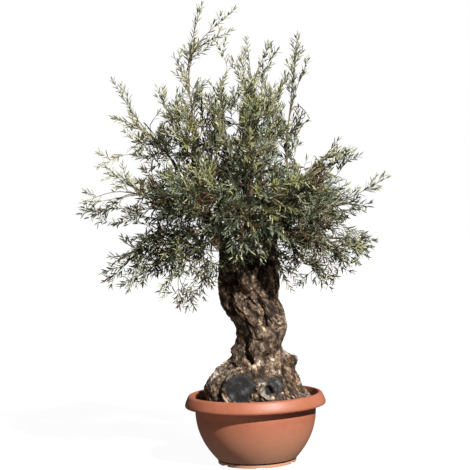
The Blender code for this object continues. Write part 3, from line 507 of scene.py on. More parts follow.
class Path:
    """A line through a few points, smooth or straight between them, read by the distance along it."""

    STEPS = 16
    REACH = 0.004  # to either side of a place, over which its direction is read

    def __init__(self, points, smooth=True):
        points = [Vector(p) for p in points]
        self.line = []
        if smooth:
            ends = [2 * points[0] - points[1], *points, 2 * points[-1] - points[-2]]
            for a, b, c, d in zip(ends, ends[1:], ends[2:], ends[3:]):
                for step in range(self.STEPS):
                    t = step / self.STEPS
                    bend = (2 * a - 5 * b + 4 * c - d) * t * t + (3 * b - 3 * c + d - a) * t**3
                    self.line.append(0.5 * (2 * b + (c - a) * t + bend))
            self.line.append(points[-1])
        else:
            self.line = points
        self.marks = [0.0]
        for a, b in zip(self.line, self.line[1:]):
            self.marks.append(self.marks[-1] + (b - a).length)
        self.length = self.marks[-1]

    def point(self, distance):
        place = min(max(distance, 0.0), self.length)
        step = min(int(np.searchsorted(self.marks, place, side="right")) - 1, len(self.line) - 2)
        step = max(step, 0)
        span = self.marks[step + 1] - self.marks[step]
        return self.line[step].lerp(self.line[step + 1], (place - self.marks[step]) / span)

    def direction(self, distance):
        low = max(distance - self.REACH, 0.0)
        high = min(distance + self.REACH, self.length)
        return (self.point(high) - self.point(low)).normalized()

    def part(self, start, end, count):
        """A stretch of the path as a few straight pieces."""
        places = [start + (end - start) * piece / count for piece in range(count + 1)]
        return Path([self.point(place) for place in places], smooth=False)


def tapering(start, end, length):
    """Radius along a limb, which narrows quickly at its foot and slowly after it."""
    return lambda distance: end + (start - end) * max(1 - distance / length, 0.0) ** 1.3


def smooth_rows(rows, height):
    """Every column of the rows but the first, read at the heights along a smooth curve."""
    levels = rows[:, 0]
    step = np.clip(np.searchsorted(levels, height) - 1, 0, len(levels) - 2)
    span = levels[step + 1] - levels[step]
    t = np.clip((height - levels[step]) / span, 0.0, 1.0)
    read = []
    for values in rows.T[1:]:
        slopes = np.gradient(values, levels)
        start, end = values[step], values[step + 1]
        low, high = slopes[step] * span, slopes[step + 1] * span
        cubic = (2 * start - 2 * end + low + high) * t**3 + (3 * end - 3 * start - 2 * low - high) * t**2
        read.append(cubic + low * t + start)
    return read


def aside_of(turn, degrees):
    """The angle from a direction to each turn, in radians, the short way round."""
    return (turn - math.radians(degrees) + math.pi) % math.tau - math.pi


def folds_at(turn, height, radius):
    """How far the folds push the trunk's surface out, or in, at each place."""
    ridges, creases = np.zeros_like(height), np.zeros_like(height)
    for places, half, rise in FOLDS:
        nearest = np.full_like(height, np.inf)
        for (first, low), (second, high) in zip(places, places[1:]):
            x = aside_of(turn, first) * radius
            y = height - low
            dx = math.radians(second - first) * radius
            dy = high - low
            along = np.clip((x * dx + y * dy) / (dx * dx + dy * dy), 0, 1)
            nearest = np.minimum(nearest, np.hypot(x - along * dx, y - along * dy))
        form = abs(rise) * np.exp(-((nearest / half) ** 2))
        if rise > 0:
            ridges += form
        else:
            creases = np.maximum(creases, form)
    return ridges - creases


def sawn_faces():
    """Centre, normal, radius and callus of each sawn face, measured from the middle of the soil's top."""
    for degrees, level, radius, distance, tilt, callus in SAWN_ROOTS:
        turn, lean = math.radians(degrees), math.radians(tilt)
        across = (math.cos(turn), math.sin(turn))
        normal = np.array((across[0] * math.cos(lean), across[1] * math.cos(lean), math.sin(lean)))
        yield np.array((across[0] * distance, across[1] * distance, level)), normal, radius, callus


def trunk_points(turn, height):
    """The trunk's surface in each direction at each height above the soil."""
    x, y, wide, deep = smooth_rows(TRUNK_GIRTHS, height)
    reach = wide * deep / np.hypot(deep * np.cos(turn), wide * np.sin(turn))
    strands = np.abs(np.cos(STRANDS / 2 * (turn - STRAND_TWIST * height)))
    reach = reach + STRAND_DEPTH * (strands - STRAND_LEVEL)
    for degrees, level, width, tall, bulge in BURLS:
        aside = aside_of(turn, degrees) * reach / width
        reach = reach + bulge * np.exp(-((aside**2 + ((height - level) / tall) ** 2) ** BLUNTNESS))
    reach = reach + folds_at(turn, height, reach)
    rounding = np.clip((height - (TRUNK_HEIGHT - CROWN_OF_TRUNK)) / CROWN_OF_TRUNK, 0, 1)
    reach = reach * np.sqrt(np.maximum(1 - rounding**2, 0.0))
    points = np.stack([x + reach * np.cos(turn), y + reach * np.sin(turn), height], axis=-1)
    for centre, normal, radius, _ in sawn_faces():
        past = (points - centre) @ normal
        aside = np.linalg.norm(points - centre - past[..., None] * normal, axis=-1)
        cut = (past > 0) & (aside < radius * CUT_REACH)
        points = points - np.where(cut, past, 0.0)[..., None] * normal
    return points


def mesh_points(mesh, what="co"):
    flat = np.empty(len(mesh.vertices) * 3)
    mesh.vertices.foreach_get(what, flat)
    return flat.reshape(-1, 3)


def set_points(mesh, points):
    mesh.vertices.foreach_set("co", np.asarray(points, float).reshape(-1))
    mesh.update()


def in_sizes(points, size, stretch, seed):
    """Points measured in sizes of a form, drawn out upwards by a stretch and moved aside by a seed."""
    return zip(points[:, 0] / size + seed, points[:, 1] / size, points[:, 2] / size / stretch)


def noise_at(points, size, stretch, seed):
    """Smooth noise about zero at each point."""
    return np.array([noise.noise(place) for place in in_sizes(points, size, stretch, seed)])


def plates_at(points, size, stretch, seed):
    """Bark plates: high in the middle of each plate and 0 on the cracks between them."""
    apart = [noise.voronoi(place)[0] for place in in_sizes(points, size, stretch, seed)]
    return np.clip(np.array([a[1] - a[0] for a in apart]) / 0.5, 0.0, 1.0)


def add_limb_tube(points, radii, name, resolution=4):
    """A limb as a bevelled curve through points, each with its own radius, made into a mesh."""
    deselect_all()
    line = bpy.data.curves.new(name, "CURVE")
    line.dimensions = "3D"
    line.bevel_depth = 1.0
    line.bevel_resolution = resolution
    line.use_fill_caps = True
    spline = line.splines.new("POLY")
    spline.points.add(len(points) - 1)
    for place, (point, radius) in enumerate(zip(points, radii)):
        spline.points[place].co = (*point, 1.0)
        spline.points[place].radius = radius
    made = bpy.data.objects.new(name, line)
    bpy.context.scene.collection.objects.link(made)
    made.select_set(True)
    bpy.context.view_layer.objects.active = made
    bpy.ops.object.convert(target="MESH")
    return bpy.context.object


def read_attribute(finish, name, socket="Fac"):
    """What the carving left on the mesh under that name."""
    made = finish.node_tree.nodes.new("ShaderNodeAttribute")
    made.attribute_name = name
    return made.outputs[socket]


def store(mesh, name, values):
    """Leaves a number, or a vector, on every point of a mesh for its finish to read."""
    values = values.astype(np.float32)
    if values.ndim == 1:
        mesh.attributes.new(name, "FLOAT", "POINT").data.foreach_set("value", values)
    else:
        mesh.attributes.new(name, "FLOAT_VECTOR", "POINT").data.foreach_set("vector", values.reshape(-1))


def bark_finish():
    """Old olive bark: grey-brown flakes with pale and ochre flecks, dark on sawn wood, with painted shade
    near black in cracks and painted light on raised bark.

    It reads what the carving left on the mesh: the run of the grain, how deep a place lies, by which it
    paints shade and light, and where sawn wood, the shade painted beside the hollow root, callus and
    bleached, upturned bark are.
    """
    finish, shader, place = new_finish("olive_bark", 0.92)
    grain = read_attribute(finish, "grain", "Vector")
    flakes = noise_pattern(finish, grain, 0.022, 7.0, 0.78)
    bark = colour_ramp(
        finish, flakes, (0.34, (0.014, 0.008, 0.005)), (0.45, (0.080, 0.050, 0.030)),
        (0.54, (0.225, 0.160, 0.110)), (0.62, (0.41, 0.32, 0.235)), (0.74, (0.70, 0.60, 0.49)),
    )
    grey = colour_ramp(finish, noise_pattern(finish, place, 0.110, 3.0), (0.46, 0.0), (0.64, 0.45))
    bark = blended(finish, grey, bark, WEATHERED)
    flecks = colour_ramp(finish, noise_pattern(finish, place, 0.045, 6.0, 0.8), (0.58, 0.0), (0.68, 0.7))
    bark = blended(finish, flecks, bark, LICHEN)
    bark = blended(finish, read_attribute(finish, "bleached"), bark, BLEACHED)
    # painted shade, near black in the recesses of the relief, and painted light on raised bark
    depth = colour_ramp(
        finish, read_attribute(finish, "relief"), (0.12, (0.04, 0.030, 0.022)),
        (0.33, (0.50, 0.43, 0.38)), (0.48, 1.0), (0.8, (1.3, 1.27, 1.24)),
    )
    specks = colour_ramp(
        finish, noise_pattern(finish, place, 0.015, 2.0, 0.7), (0.36, (0.25, 0.20, 0.16)),
        (0.48, (0.90, 0.88, 0.86)), (0.56, (1.15, 1.10, 1.0)), (0.68, (1.9, 1.7, 1.35)),
    )
    mottle = colour_ramp(
        finish, noise_pattern(finish, place, 0.034, 4.0, 0.65),
        (0.38, (0.42, 0.40, 0.38)), (0.50, 1.0), (0.64, 1.5),
    )
    for shade in (depth, specks, mottle):
        bark = blended(finish, 1.0, bark, shade, "MULTIPLY")
    wood = colour_ramp(
        finish, noise_pattern(finish, place, 0.038, 7.0, 0.75),
        (0.38, 0.006), (0.50, 0.018), (0.58, (0.050, 0.049, 0.047)), (0.72, (0.20, 0.195, 0.185)),
    )
    # sawn wood, and the shade painted as dark as it beside the hollow root
    bark = blended(finish, read_attribute(finish, "sawn"), bark, wood)
    join_up(finish, bark, shader.inputs["Base Color"])
    add_bump(finish, shader, noise_pattern(finish, grain, 0.009, 6.0, 0.8), 0.0040)
    return finish


def along_grain(points):
    """Each point measured from the trunk's axis with the strands unwound, so patterns follow the wood."""
    level = np.clip(points[:, 2] - SOIL_TOP, 0.0, TRUNK_HEIGHT)
    x, y, _, _ = smooth_rows(TRUNK_GIRTHS, level)
    turn = -STRAND_TWIST * level
    off_x, off_y = points[:, 0] - x, points[:, 1] - y
    across = off_x * np.cos(turn) - off_y * np.sin(turn)
    back = off_x * np.sin(turn) + off_y * np.cos(turn)
    return np.stack([across, back, points[:, 2] * GRAIN_RUN], axis=1)


def bark_relief(points, grain):
    """How far the folds, ridges, plates and flakes of the bark stand out at each point."""
    folds = sum(depth * np.abs(noise_at(grain, size, 1.0, seed)) for depth, size, seed in FOLD_NOISE)
    ridges = np.abs(noise_at(grain, 0.0095, 1.4, 5.5))
    plates = plates_at(grain, 0.012, 1.1, 2.3)
    flakes = noise_at(points, 0.0055, 1.4, 7.7)
    return folds - MEAN_FOLD - RIDGE_DEPTH * ridges + PLATE_DEPTH * (plates - 0.5) + FLAKE_DEPTH * flakes


def carve_bark(mesh):
    """Cuts the bark's relief into a fine mesh and leaves the sawn faces smooth inside their calluses."""
    points, normals = mesh_points(mesh), mesh_points(mesh, "normal")
    grain = along_grain(points)
    shift = bark_relief(points, grain)
    sawn, callus, chalky, painted_hollow_shade = np.zeros((4, len(points)))
    for centre, normal, radius, roll in sawn_faces():
        off = points - centre - (0.0, 0.0, SOIL_TOP)
        past = off @ normal
        aside = np.linalg.norm(off - past[:, None] * normal, axis=1)
        ragged = radius * (1.04 + 0.12 * noise_at(points, 0.03, 1.0, 1.5))
        face = (np.abs(past) < 0.016) * np.clip((ragged - aside) / 0.005, 0, 1)
        ring = np.exp(-(((aside - ragged - 0.8 * roll) / (0.75 * roll)) ** 2)) * (np.abs(past) < 0.05)
        lumpy = np.clip(0.75 + 1.1 * noise_at(points, 0.022, 1.0, 4.8), 0.2, 1.2)
        # The callus of the hollow root is chalky low on its left
        low_left = np.clip(0.15 - (0.75 * off[:, 0] + 0.9 * off[:, 2]) / np.maximum(aside, 0.01), 0.0, 1.0)
        sawn = np.maximum(sawn * (1 - ring), face)
        callus = np.maximum(callus * (1 - face), ring)
        chalky = np.maximum(chalky * (1 - face), ring * low_left * (roll > PLAIN_ROLL))
        shift += CALLUS_RISE * roll * ring * lumpy - FACE_DEPTH * face
        # Beside the hollow root, shade is painted as dark as the sawn wood
        if roll > PLAIN_ROLL:
            from_painted_shade = np.linalg.norm(off - PAINTED_SHADE_OFFSET, axis=1) / PAINTED_SHADE_REACH
            edge = 1.0 + 0.5 * noise_at(points, 0.03, 1.0, 8.8)
            painted_hollow_shade = np.clip(1.6 - 1.2 * from_painted_shade * edge, 0.0, 0.85) * (1 - ring * low_left)
    shift -= 0.85 * sawn * (shift + FACE_DEPTH)
    shift *= np.clip((points[:, 2] - SOIL_TOP) / 0.004, 0.0, 1.0)
    set_points(mesh, points + normals * shift[:, None])
    patchy = np.clip(3.0 * noise_at(points, 0.045, 1.0, 6.6) + 0.3, 0, 1)
    upturned = np.clip((normals[:, 2] - 0.35) / 0.4, 0, 1) * np.clip((0.56 - points[:, 2]) / 0.1, 0, 1)
    # the bark's finish paints shade in the low places of this relief and light on the high ones
    store(mesh, "relief", np.clip(0.5 + (shift - CALLUS_RISE * callus * 0.010) / 0.018, 0.0, 1.0))
    # the sawn wood together with the shade painted beside the hollow root
    store(mesh, "sawn", np.maximum(sawn, painted_hollow_shade))
    store(mesh, "bleached", np.clip(0.6 * upturned * patchy + 0.85 * chalky, 0, 0.85) * (1 - sawn))
    store(mesh, "grain", grain)


deselect_all()
bpy.ops.mesh.primitive_uv_sphere_add(segments=TRUNK_SIDES, ring_count=TRUNK_RINGS, radius=1.0)
trunk = bpy.context.object
trunk.name = "trunk_and_limbs"
ball = mesh_points(trunk.data)
turn = np.arctan2(ball[:, 1], ball[:, 0])
share = np.arccos(np.clip(-ball[:, 2], -1, 1)) / math.pi
inward = np.clip(share / FLAT_FOOT, 0.0, 1.0)
height = np.clip((share - FLAT_FOOT) / (1 - FLAT_FOOT), 0.0, 1.0) * TRUNK_HEIGHT
shaped = trunk_points(turn, height)
shaped[:, :2] *= inward[:, None]
shaped[:, 2] = np.where(share <= FLAT_FOOT, 0.0, shaped[:, 2])
set_points(trunk.data, shaped + (0.0, 0.0, SOIL_TOP))
limb_lines = {}
tubes = []
for name, (places, start, end) in LIMBS.items():
    smooth = Path(places)
    limb = smooth.part(0.0, smooth.length, LIMB_PIECES)
    taper = tapering(start, end, limb.length)
    limb_lines[name] = (limb, taper)
    fine = smooth.part(0.0, smooth.length, FINE_LIMB_PIECES)
    radii = [taper(mark) for mark in fine.marks]
    tubes.append(add_limb_tube(fine.line, radii, name + "_tube", 6))
for tube in tubes:
    tube.select_set(True)
trunk.select_set(True)
bpy.context.view_layer.objects.active = trunk
bpy.ops.object.join()
remesh = trunk.modifiers.new("One skin", "REMESH")
remesh.mode = "VOXEL"
remesh.voxel_size = VOXEL
bpy.ops.object.modifier_apply(modifier=remesh.name)
carve_bark(trunk.data)
trunk.data.shade_smooth()
bark = bark_finish()
trunk.data.materials.clear()
trunk.data.materials.append(bark)
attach(trunk, "root")
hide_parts("trunk", *LIMBS)

# The boughs
# Twenty boughs leave the limbs, each a single tapering limb with young, finely cracked bark. Each
# runs on as the stem of its own mass of foliage.

BOUGH_PIECES = 10
BOUGH_RINGS = 26
BOUGH_RADIUS = 0.0135
ENTRY_RADIUS = 0.0075
SHORTEST_BOUGH = 0.06
STEM_TIP_RADIUS = 0.0030
BOUGH_RISE = 0.10
CROWN_FOOT = Vector((0.0, 0.0, 0.98))
UP = Vector((0.0, 0.0, 1.0))

# Limb, place along it, heart of the mass, reach, and the tips of its long shoots
MASSES = {
    "top_left": (
        "left_limb", 1.00, (-0.259, 0.04, 1.740), (0.12, 0.15, 0.235),
        ((-0.176, 0.00, 2.126), (-0.021, -0.05, 2.089), (-0.033, 0.08, 2.007), (-0.359, -0.06, 1.775)),
    ),
    "top_centre": (
        "back_limb", 1.00, (0.034, 0.00, 1.633), (0.17, 0.18, 0.2),
        ((-0.107, 0.08, 1.911), (0.019, 0.05, 1.973), (0.136, -0.05, 1.932)),
    ),
    "top_right": (
        "right_limb", 1.00, (0.206, 0.03, 1.569), (0.115, 0.17, 0.23),
        ((0.263, 0.02, 1.978), (0.301, -0.08, 1.849), (0.316, 0.12, 1.571)),
    ),
    "left_high": (
        "left_limb", 0.93, (-0.454, 0.06, 1.516), (0.15, 0.18, 0.165),
        ((-0.616, 0.05, 1.803), (-0.618, -0.05, 1.607), (-0.411, -0.04, 1.651)),
    ),
    "left_top": (
        "left_limb", 0.90, (-0.224, -0.12, 1.547), (0.2, 0.18, 0.19),
        ((-0.184, -0.10, 1.783), (-0.382, -0.20, 1.556)),
    ),
    "left_mid": (
        "left_limb", 0.80, (-0.481, -0.04, 1.236), (0.19, 0.2, 0.15),
        ((-0.690, 0.10, 1.423), (-0.582, 0.02, 1.432), (-0.778, -0.05, 1.219), (-0.710, -0.15, 1.148)),
    ),
    "left_low": (
        "left_limb", 0.56, (-0.426, -0.04, 0.991), (0.2, 0.19, 0.125),
        ((-0.663, -0.10, 0.851), (-0.641, -0.16, 0.935), (-0.600, 0.10, 1.063), (-0.560, -0.16, 0.810)),
    ),
    "left_under": (
        "left_limb", 0.66, (-0.261, -0.22, 0.946), (0.17, 0.15, 0.135),
        ((-0.410, -0.22, 0.764), (-0.320, -0.26, 0.728), (-0.256, -0.20, 0.730), (-0.167, -0.24, 0.823)),
    ),
    "right_high": (
        "right_limb", 0.94, (0.328, -0.02, 1.354), (0.145, 0.17, 0.125),
        ((0.490, -0.08, 1.428), (0.429, -0.05, 1.477)),
    ),
    "right_mid": (
        "right_limb", 0.80, (0.386, 0.06, 1.149), (0.165, 0.19, 0.125),
        ((0.665, 0.05, 1.297), (0.558, -0.08, 1.156)),
    ),
    "right_low": (
        "right_limb", 0.60, (0.318, -0.10, 0.983), (0.235, 0.18, 0.15),
        ((0.588, -0.05, 1.004), (0.495, -0.16, 0.893), (0.359, -0.14, 0.807), (0.185, -0.18, 0.807)),
    ),
    "front_left": (
        "left_limb", 0.72, (-0.240, -0.28, 1.229), (0.2, 0.2, 0.2),
        ((-0.330, -0.50, 1.260),),
    ),
    "front_centre": (
        "right_limb", 0.66, (-0.002, -0.24, 1.088), (0.24, 0.22, 0.19),
        ((-0.087, -0.34, 0.944), (0.047, -0.34, 0.917)),
    ),
    "front_right": (
        "right_limb", 0.76, (0.204, -0.29, 1.204), (0.2, 0.19, 0.2),
        ((0.320, -0.48, 1.270),),
    ),
    "front_top": (
        "left_limb", 0.97, (0.016, -0.21, 1.470), (0.24, 0.2, 0.22),
        ((-0.147, -0.20, 1.624), (0.166, -0.16, 1.616), (0.060, -0.36, 1.660)),
    ),
    "back_left": (
        "back_limb", 0.78, (-0.270, 0.32, 1.220), (0.23, 0.22, 0.22),
        ((-0.440, 0.48, 1.360), (-0.300, 0.44, 0.930)),
    ),
    "back_centre": (
        "back_limb", 0.88, (0.000, 0.39, 1.300), (0.2, 0.2, 0.2),
        ((0.020, 0.56, 1.420),),
    ),
    "back_right": (
        "back_limb", 0.70, (0.260, 0.32, 1.180), (0.22, 0.22, 0.22),
        ((0.420, 0.48, 1.330), (0.270, 0.42, 0.920)),
    ),
    "heart": (
        "left_limb", 0.84, (-0.120, 0.07, 1.420), (0.22, 0.2, 0.24),
        (),
    ),
    "back_top": (
        "back_limb", 0.96, (0.040, 0.27, 1.570), (0.21, 0.2, 0.2),
        ((0.120, 0.42, 1.740),),
    ),
}


def bough_path(limb, share, heart, reach):
    """The line of a bough and of the stem that carries it on through its mass."""
    leaves_at = limb.length * share
    start = limb.point(leaves_at)
    heart = Vector(heart)
    way = heart - start
    first = (limb.direction(leaves_at) + 1.3 * way.normalized()).normalized()
    rise = UP * BOUGH_RISE * way.length
    onward = (heart - CROWN_FOOT).normalized()
    end = heart + 0.45 * Vector([a * b for a, b in zip(onward, reach)])
    smooth = Path((start, start + first * 0.30 * way.length, start.lerp(heart, 0.68) + rise, end))
    return smooth.part(0.0, smooth.length, BOUGH_PIECES)


def bough_end(path, heart, reach):
    """Where a bough gives way to its mass: the last place on it that lies outside the mass's reach."""
    steps = 80
    outside = 0.0
    for step in range(steps):
        point = path.point(path.length * step / steps)
        off = [(a - b) / c for a, b, c in zip(point, heart, reach)]
        if math.sqrt(sum(o * o for o in off)) > 1.0:
            outside = path.length * step / steps
    return max(outside, SHORTEST_BOUGH)


bough_lines = {}
for name, (limb, share, heart, reach, _) in MASSES.items():
    path = bough_path(limb_lines[limb][0], share, heart, reach)
    entry = bough_end(path, heart, reach)
    bough_lines[name] = (path, entry)
    fine = path.part(0.0, entry, BOUGH_RINGS)
    taper = tapering(BOUGH_RADIUS, ENTRY_RADIUS, entry)
    radii = [taper(mark) * (1 + 0.05 * lumps(point, 0.03, 2.0)) for mark, point in zip(fine.marks, fine.line)]
    bough = add_limb_tube(fine.line, radii, "limb_" + name)
    points, normals = mesh_points(bough.data), mesh_points(bough.data, "normal")
    shift = 0.0018 * noise_at(points, 0.014, 2.0, 6.0) + 0.0009 * noise_at(points, 0.005, 1.0, 2.0)
    set_points(bough.data, points + normals * shift[:, None])
    axis = np.array(fine.line)
    nearest = np.linalg.norm(points[:, None, :] - axis, axis=2).argmin(axis=1)
    run = points - axis[nearest] + np.array(fine.marks)[nearest, None] * (0.0, 0.0, GRAIN_RUN)
    # the bark's finish paints shade in the low places of this relief and light on the high ones
    store(bough.data, "relief", np.clip(0.48 + shift / 0.006, 0.0, 1.0))
    store(bough.data, "grain", run)
    bough.data.shade_smooth()
    bough.data.materials.append(bark)
    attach(bough, "root")
    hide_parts("bough_" + name)

# The foliage
# Twenty masses of leafy shoots. From the stem of each mass shoots branch by one seeded rule, the same
# that the source uses, and twigs branch from them in turn. Narrow grey-green leaves sit on the twigs
# in pairs, each pair crossing the one below, paler beneath.

GOLDEN_ANGLE = math.pi * (3 - math.sqrt(5))
SHOOTS = 7
CAP_OF_DIRECTIONS = -0.70
FINE_SHOOTS = 95  # ends of twigs inside each mass, besides its shoots, where it is full
# How full each mass is, where it isn't 1
FULLNESS = {
    "top_left": 0.13, "top_centre": 0.42, "top_right": 0.32, "left_high": 0.28, "left_top": 0.44,
    "left_mid": 0.37, "left_low": 0.48, "left_under": 0.40, "right_high": 0.26, "right_mid": 0.38,
    "right_low": 0.55, "front_left": 0.78, "front_centre": 1.35, "front_right": 0.85, "front_top": 0.48,
    "heart": 0.75, "back_centre": 0.55, "back_left": 0.55, "back_right": 0.60, "back_top": 0.32,
}
THIN_TOPS = ("top_left", "top_centre", "top_right", "left_high")  # only long shoots rise from these
THIN_FROM = 0.30  # of the way from the heart to the top
CAMERA_PLACE = (-0.0656, -6.0, 1.16)
CAMERA_ROLL = math.radians(2.09)
PHOTO_MIDDLE = 235  # pixels from its left and top edges
FOCAL_PIXELS = 1300  # the camera's focal length
AXIS_ACROSS = 14.2  # pixels from the photo's middle to the origin's axis, at its right
HORIZON = 23.8  # pixels above the photo's middle
# Ends of more sprays, which fill the outline: pixels across and down in the photo, and the depth
SPRAYS = (
    (181, 100, 0.02), (203, 52, 0.0), (210, 46, 0.02), (192, 50, 0.0), (216, 42, 0.0), (262, 82, 0.0),
    (256, 88, -0.06), (248, 84, 0.05), (268, 98, -0.05), (262, 68, 0.02), (256, 74, 0.0), (266, 88, 0.02),
    (271, 92, 0.0), (226, 80, 0.04), (232, 90, 0.06), (240, 78, 0.0), (244, 52, 0.05), (240, 60, 0.04),
    (219, 88, 0.0), (224, 96, -0.03), (278, 98, 0.05), (281, 88, 0.03), (284, 76, 0.02), (292, 60, 0.0),
    (298, 48, 0.0), (276, 52, -0.04), (270, 60, -0.03), (158, 118, -0.1), (164, 150, -0.1),
    (172, 138, -0.16), (170, 112, -0.1), (218, 92, -0.08), (212, 100, -0.12), (222, 84, -0.06),
    (150, 140, 0.02), (160, 132, 0.02), (165, 168, -0.05), (160, 174, -0.1), (168, 160, -0.1),
    (100, 166, 0.06), (108, 174, 0.02), (88, 203, -0.04), (97, 213, -0.06), (90, 217, -0.1),
    (104, 222, -0.1), (84, 208, -0.05), (132, 268, -0.05), (142, 262, -0.1), (112, 284, -0.1),
    (125, 276, 0.0), (104, 272, -0.1), (150, 270, -0.1), (122, 286, -0.1), (138, 284, -0.12),
    (162, 262, -0.12), (158, 274, -0.15), (180, 304, -0.24), (187, 309, -0.24), (176, 300, -0.2),
    (192, 298, -0.2), (203, 287, -0.22), (165, 284, -0.2), (287, 270, -0.12), (297, 281, -0.14),
    (281, 262, -0.12), (290, 288, -0.16), (318, 268, -0.1), (327, 276, -0.1), (303, 262, -0.1),
    (362, 243, -0.08), (370, 247, -0.05), (356, 252, -0.1), (345, 262, -0.1), (284, 278, -0.18),
    (322, 285, -0.12), (330, 287, -0.1), (366, 251, -0.04), (359, 246, 0.0), (373, 240, -0.03),
    (338, 190, 0.0), (345, 200, -0.03), (378, 188, 0.04), (344, 150, 0.0), (352, 152, -0.03),
    (340, 158, 0.03), (358, 250, -0.06), (244, 90, -0.03), (238, 96, 0.03), (202, 250, -0.2),
    (363, 254, -0.1), (158, 90, -0.05), (163, 84, -0.02), (280, 268, -0.15), (138, 274, -0.12),
    (204, 246, -0.16), (212, 240, -0.2), (200, 236, -0.18), (268, 254, -0.2), (276, 248, -0.2),
)
# Where the sky shows through: pixels across and down to the middle, half width and half height
GAPS = (
    (232, 118, 7, 15), (288, 112, 5, 10), (318, 146, 14, 11), (146, 105, 9, 17), (134, 229, 12, 5),
    (207, 260, 5, 4), (195, 227, 5, 3), (100, 190, 10, 6), (361, 222, 14, 6), (160, 58, 12, 28),
    (306, 95, 8, 18), (310, 134, 7, 13), (222, 64, 5, 9), (205, 68, 7, 8), (116, 147, 10, 8),
    (124, 248, 9, 6), (173, 88, 4, 8), (193, 84, 4, 8), (301, 155, 6, 11), (125, 190, 9, 6),
    (180, 287, 8, 8), (345, 229, 6, 4), (186, 266, 5, 3), (105, 197, 8, 5), (253, 60, 5, 11),
    (152, 121, 6, 9), (122, 198, 7, 7), (305, 165, 6, 8), (144, 212, 6, 4), (345, 207, 8, 4),
    (306, 270, 6, 5), (341, 171, 8, 7), (204, 28, 5, 15),
)
CROWN_HEART = Vector((-0.05, 0.0, 1.22))
CROWN_REACH = (0.62, 0.48, 0.62)
SPACE_OVERLAP = 0.030  # how far neighbouring masses mingle
SHOOT_RADII = (0.0038, 0.0013)
TWIG_RADII = (0.0016, 0.0008)
LEAF_LENGTH = 0.046
LEAF_WIDTH = 0.0082
LEAF_THICKNESS = 0.0008
LEAF_FOLD = 0.0012  # how far the edges lift above the midrib
LEAF_DROOP = 0.10  # of its length
LEAF_ANGLE = math.radians(37)
LEAF_ROUGHNESS = 0.38
LEAVES_SHRINK = 0.30  # towards a twig's tip
MISSING_LEAVES = 0.06  # the share of them that have fallen
OWN_TINT = 0.82  # the share of a spray's leaves that have its tint
PAIR_SPACING = 0.020
FIRST_PAIR = 0.006
LAST_PAIR = 0.004  # short of the tip, which has a pair of its own
PAIRS_CROWD = 0.25  # towards a twig's tip
PAIR_WANDER = 0.35  # of a pair from square to the one below, in radians
END_PAIR_SCALE = 0.72
END_PAIR_ANGLE = math.radians(20)
SIDE_TWIG = (0.040, 0.090)
SIDE_TWIG_BARE = 0.014
SIDE_TWIG_LEAN = (35, 60)  # degrees
SIDE_TWIG_SPACING = 0.062
FIRST_SIDE_TWIG = 0.02  # past the bare foot of a shoot
LAST_SIDE_TWIG = 0.03  # short of its tip
PLACE_SPACING = 0.020
SPRAY_LENGTH = (0.08, 0.19)
SPRAY_RADIUS = 0.0020
SPRAY_BARE = 0.22  # of its length
SHOOT_BARE = 0.30
SHORTEST_SHOOT = 0.08
SHOOT_STEP = 0.02  # by which a shoot that leaves its mass's space is shortened
PIECE_LENGTH = 0.035  # of a twig's line
CLOSEST_PLACE = 0.05  # no spray springs from wood as near as this to its end
UPRIGHT = 1.3  # how much sprays high in the crown turn up
UPRIGHT_FROM = 1.20  # height at which they start to
UPRIGHT_OVER = 0.35  # how much higher they do so fully
TRUNK_GAP = 0.012  # kept between leaves and the trunk
LIMB_GAP = 0.008


def leaf_finish(name, colour, roughness):
    """A plain colour: the pieces hold too many leaves for a pattern, so each spray has its own tint."""
    finish, shader, _ = new_finish(name, roughness)
    shader.inputs["Base Color"].default_value = (*colour, 1.0)
    shader.inputs["Specular IOR Level"].default_value = 0.45
    return finish


LEAF_TINTS = {
    "leaf_olive": (0.268, 0.270, 0.100),
    "leaf_grey": (0.172, 0.214, 0.142),
    # painted shade: near-black leaves set deep inside and low in the crown
    "leaf_painted_shade": (0.062, 0.074, 0.038),
    "leaf_young": (0.420, 0.430, 0.248),
    # brown of dead leaves, and painted shade where set deep inside and low in the crown
    "leaf_brown": (0.092, 0.060, 0.028),
}
SHADE_TINTS = (2, 4)  # the near-black leaves, painted shade, and the brown ones, dead leaves and painted shade, are as dark beneath
OTHER_TINTS = (0, 1, 1, 2, 3)  # of the few leaves that differ from their spray
leaf_finishes = [leaf_finish(name, colour, LEAF_ROUGHNESS) for name, colour in LEAF_TINTS.items()]
leaf_finishes.append(leaf_finish("leaf_underside", (0.400, 0.395, 0.262), 0.60))
twig_finish = leaf_finish("twig_bark", (0.155, 0.118, 0.080), 0.85)


def nearer_than_others(points, index, hearts):
    """How far each point lies inside its own mass's border, beyond which another heart is nearer."""
    own = ((points - hearts[index]) ** 2).sum(axis=-1)
    others = np.delete(hearts, index, axis=0)
    theirs = ((points[..., None, :] - others) ** 2).sum(axis=-1)
    spans = 2 * np.linalg.norm(others - hearts[index], axis=1)
    return ((theirs - own[..., None]) / spans).min(axis=-1)


def spread_direction(count, total, lowest, first_turn):
    """Cosine, sine and turn of one of the directions that are spread evenly from a pole down."""
    cosine = 1 - (1 - lowest) * (count + 0.5) / total
    return cosine, math.sqrt(1 - cosine * cosine), first_turn + count * GOLDEN_ANGLE


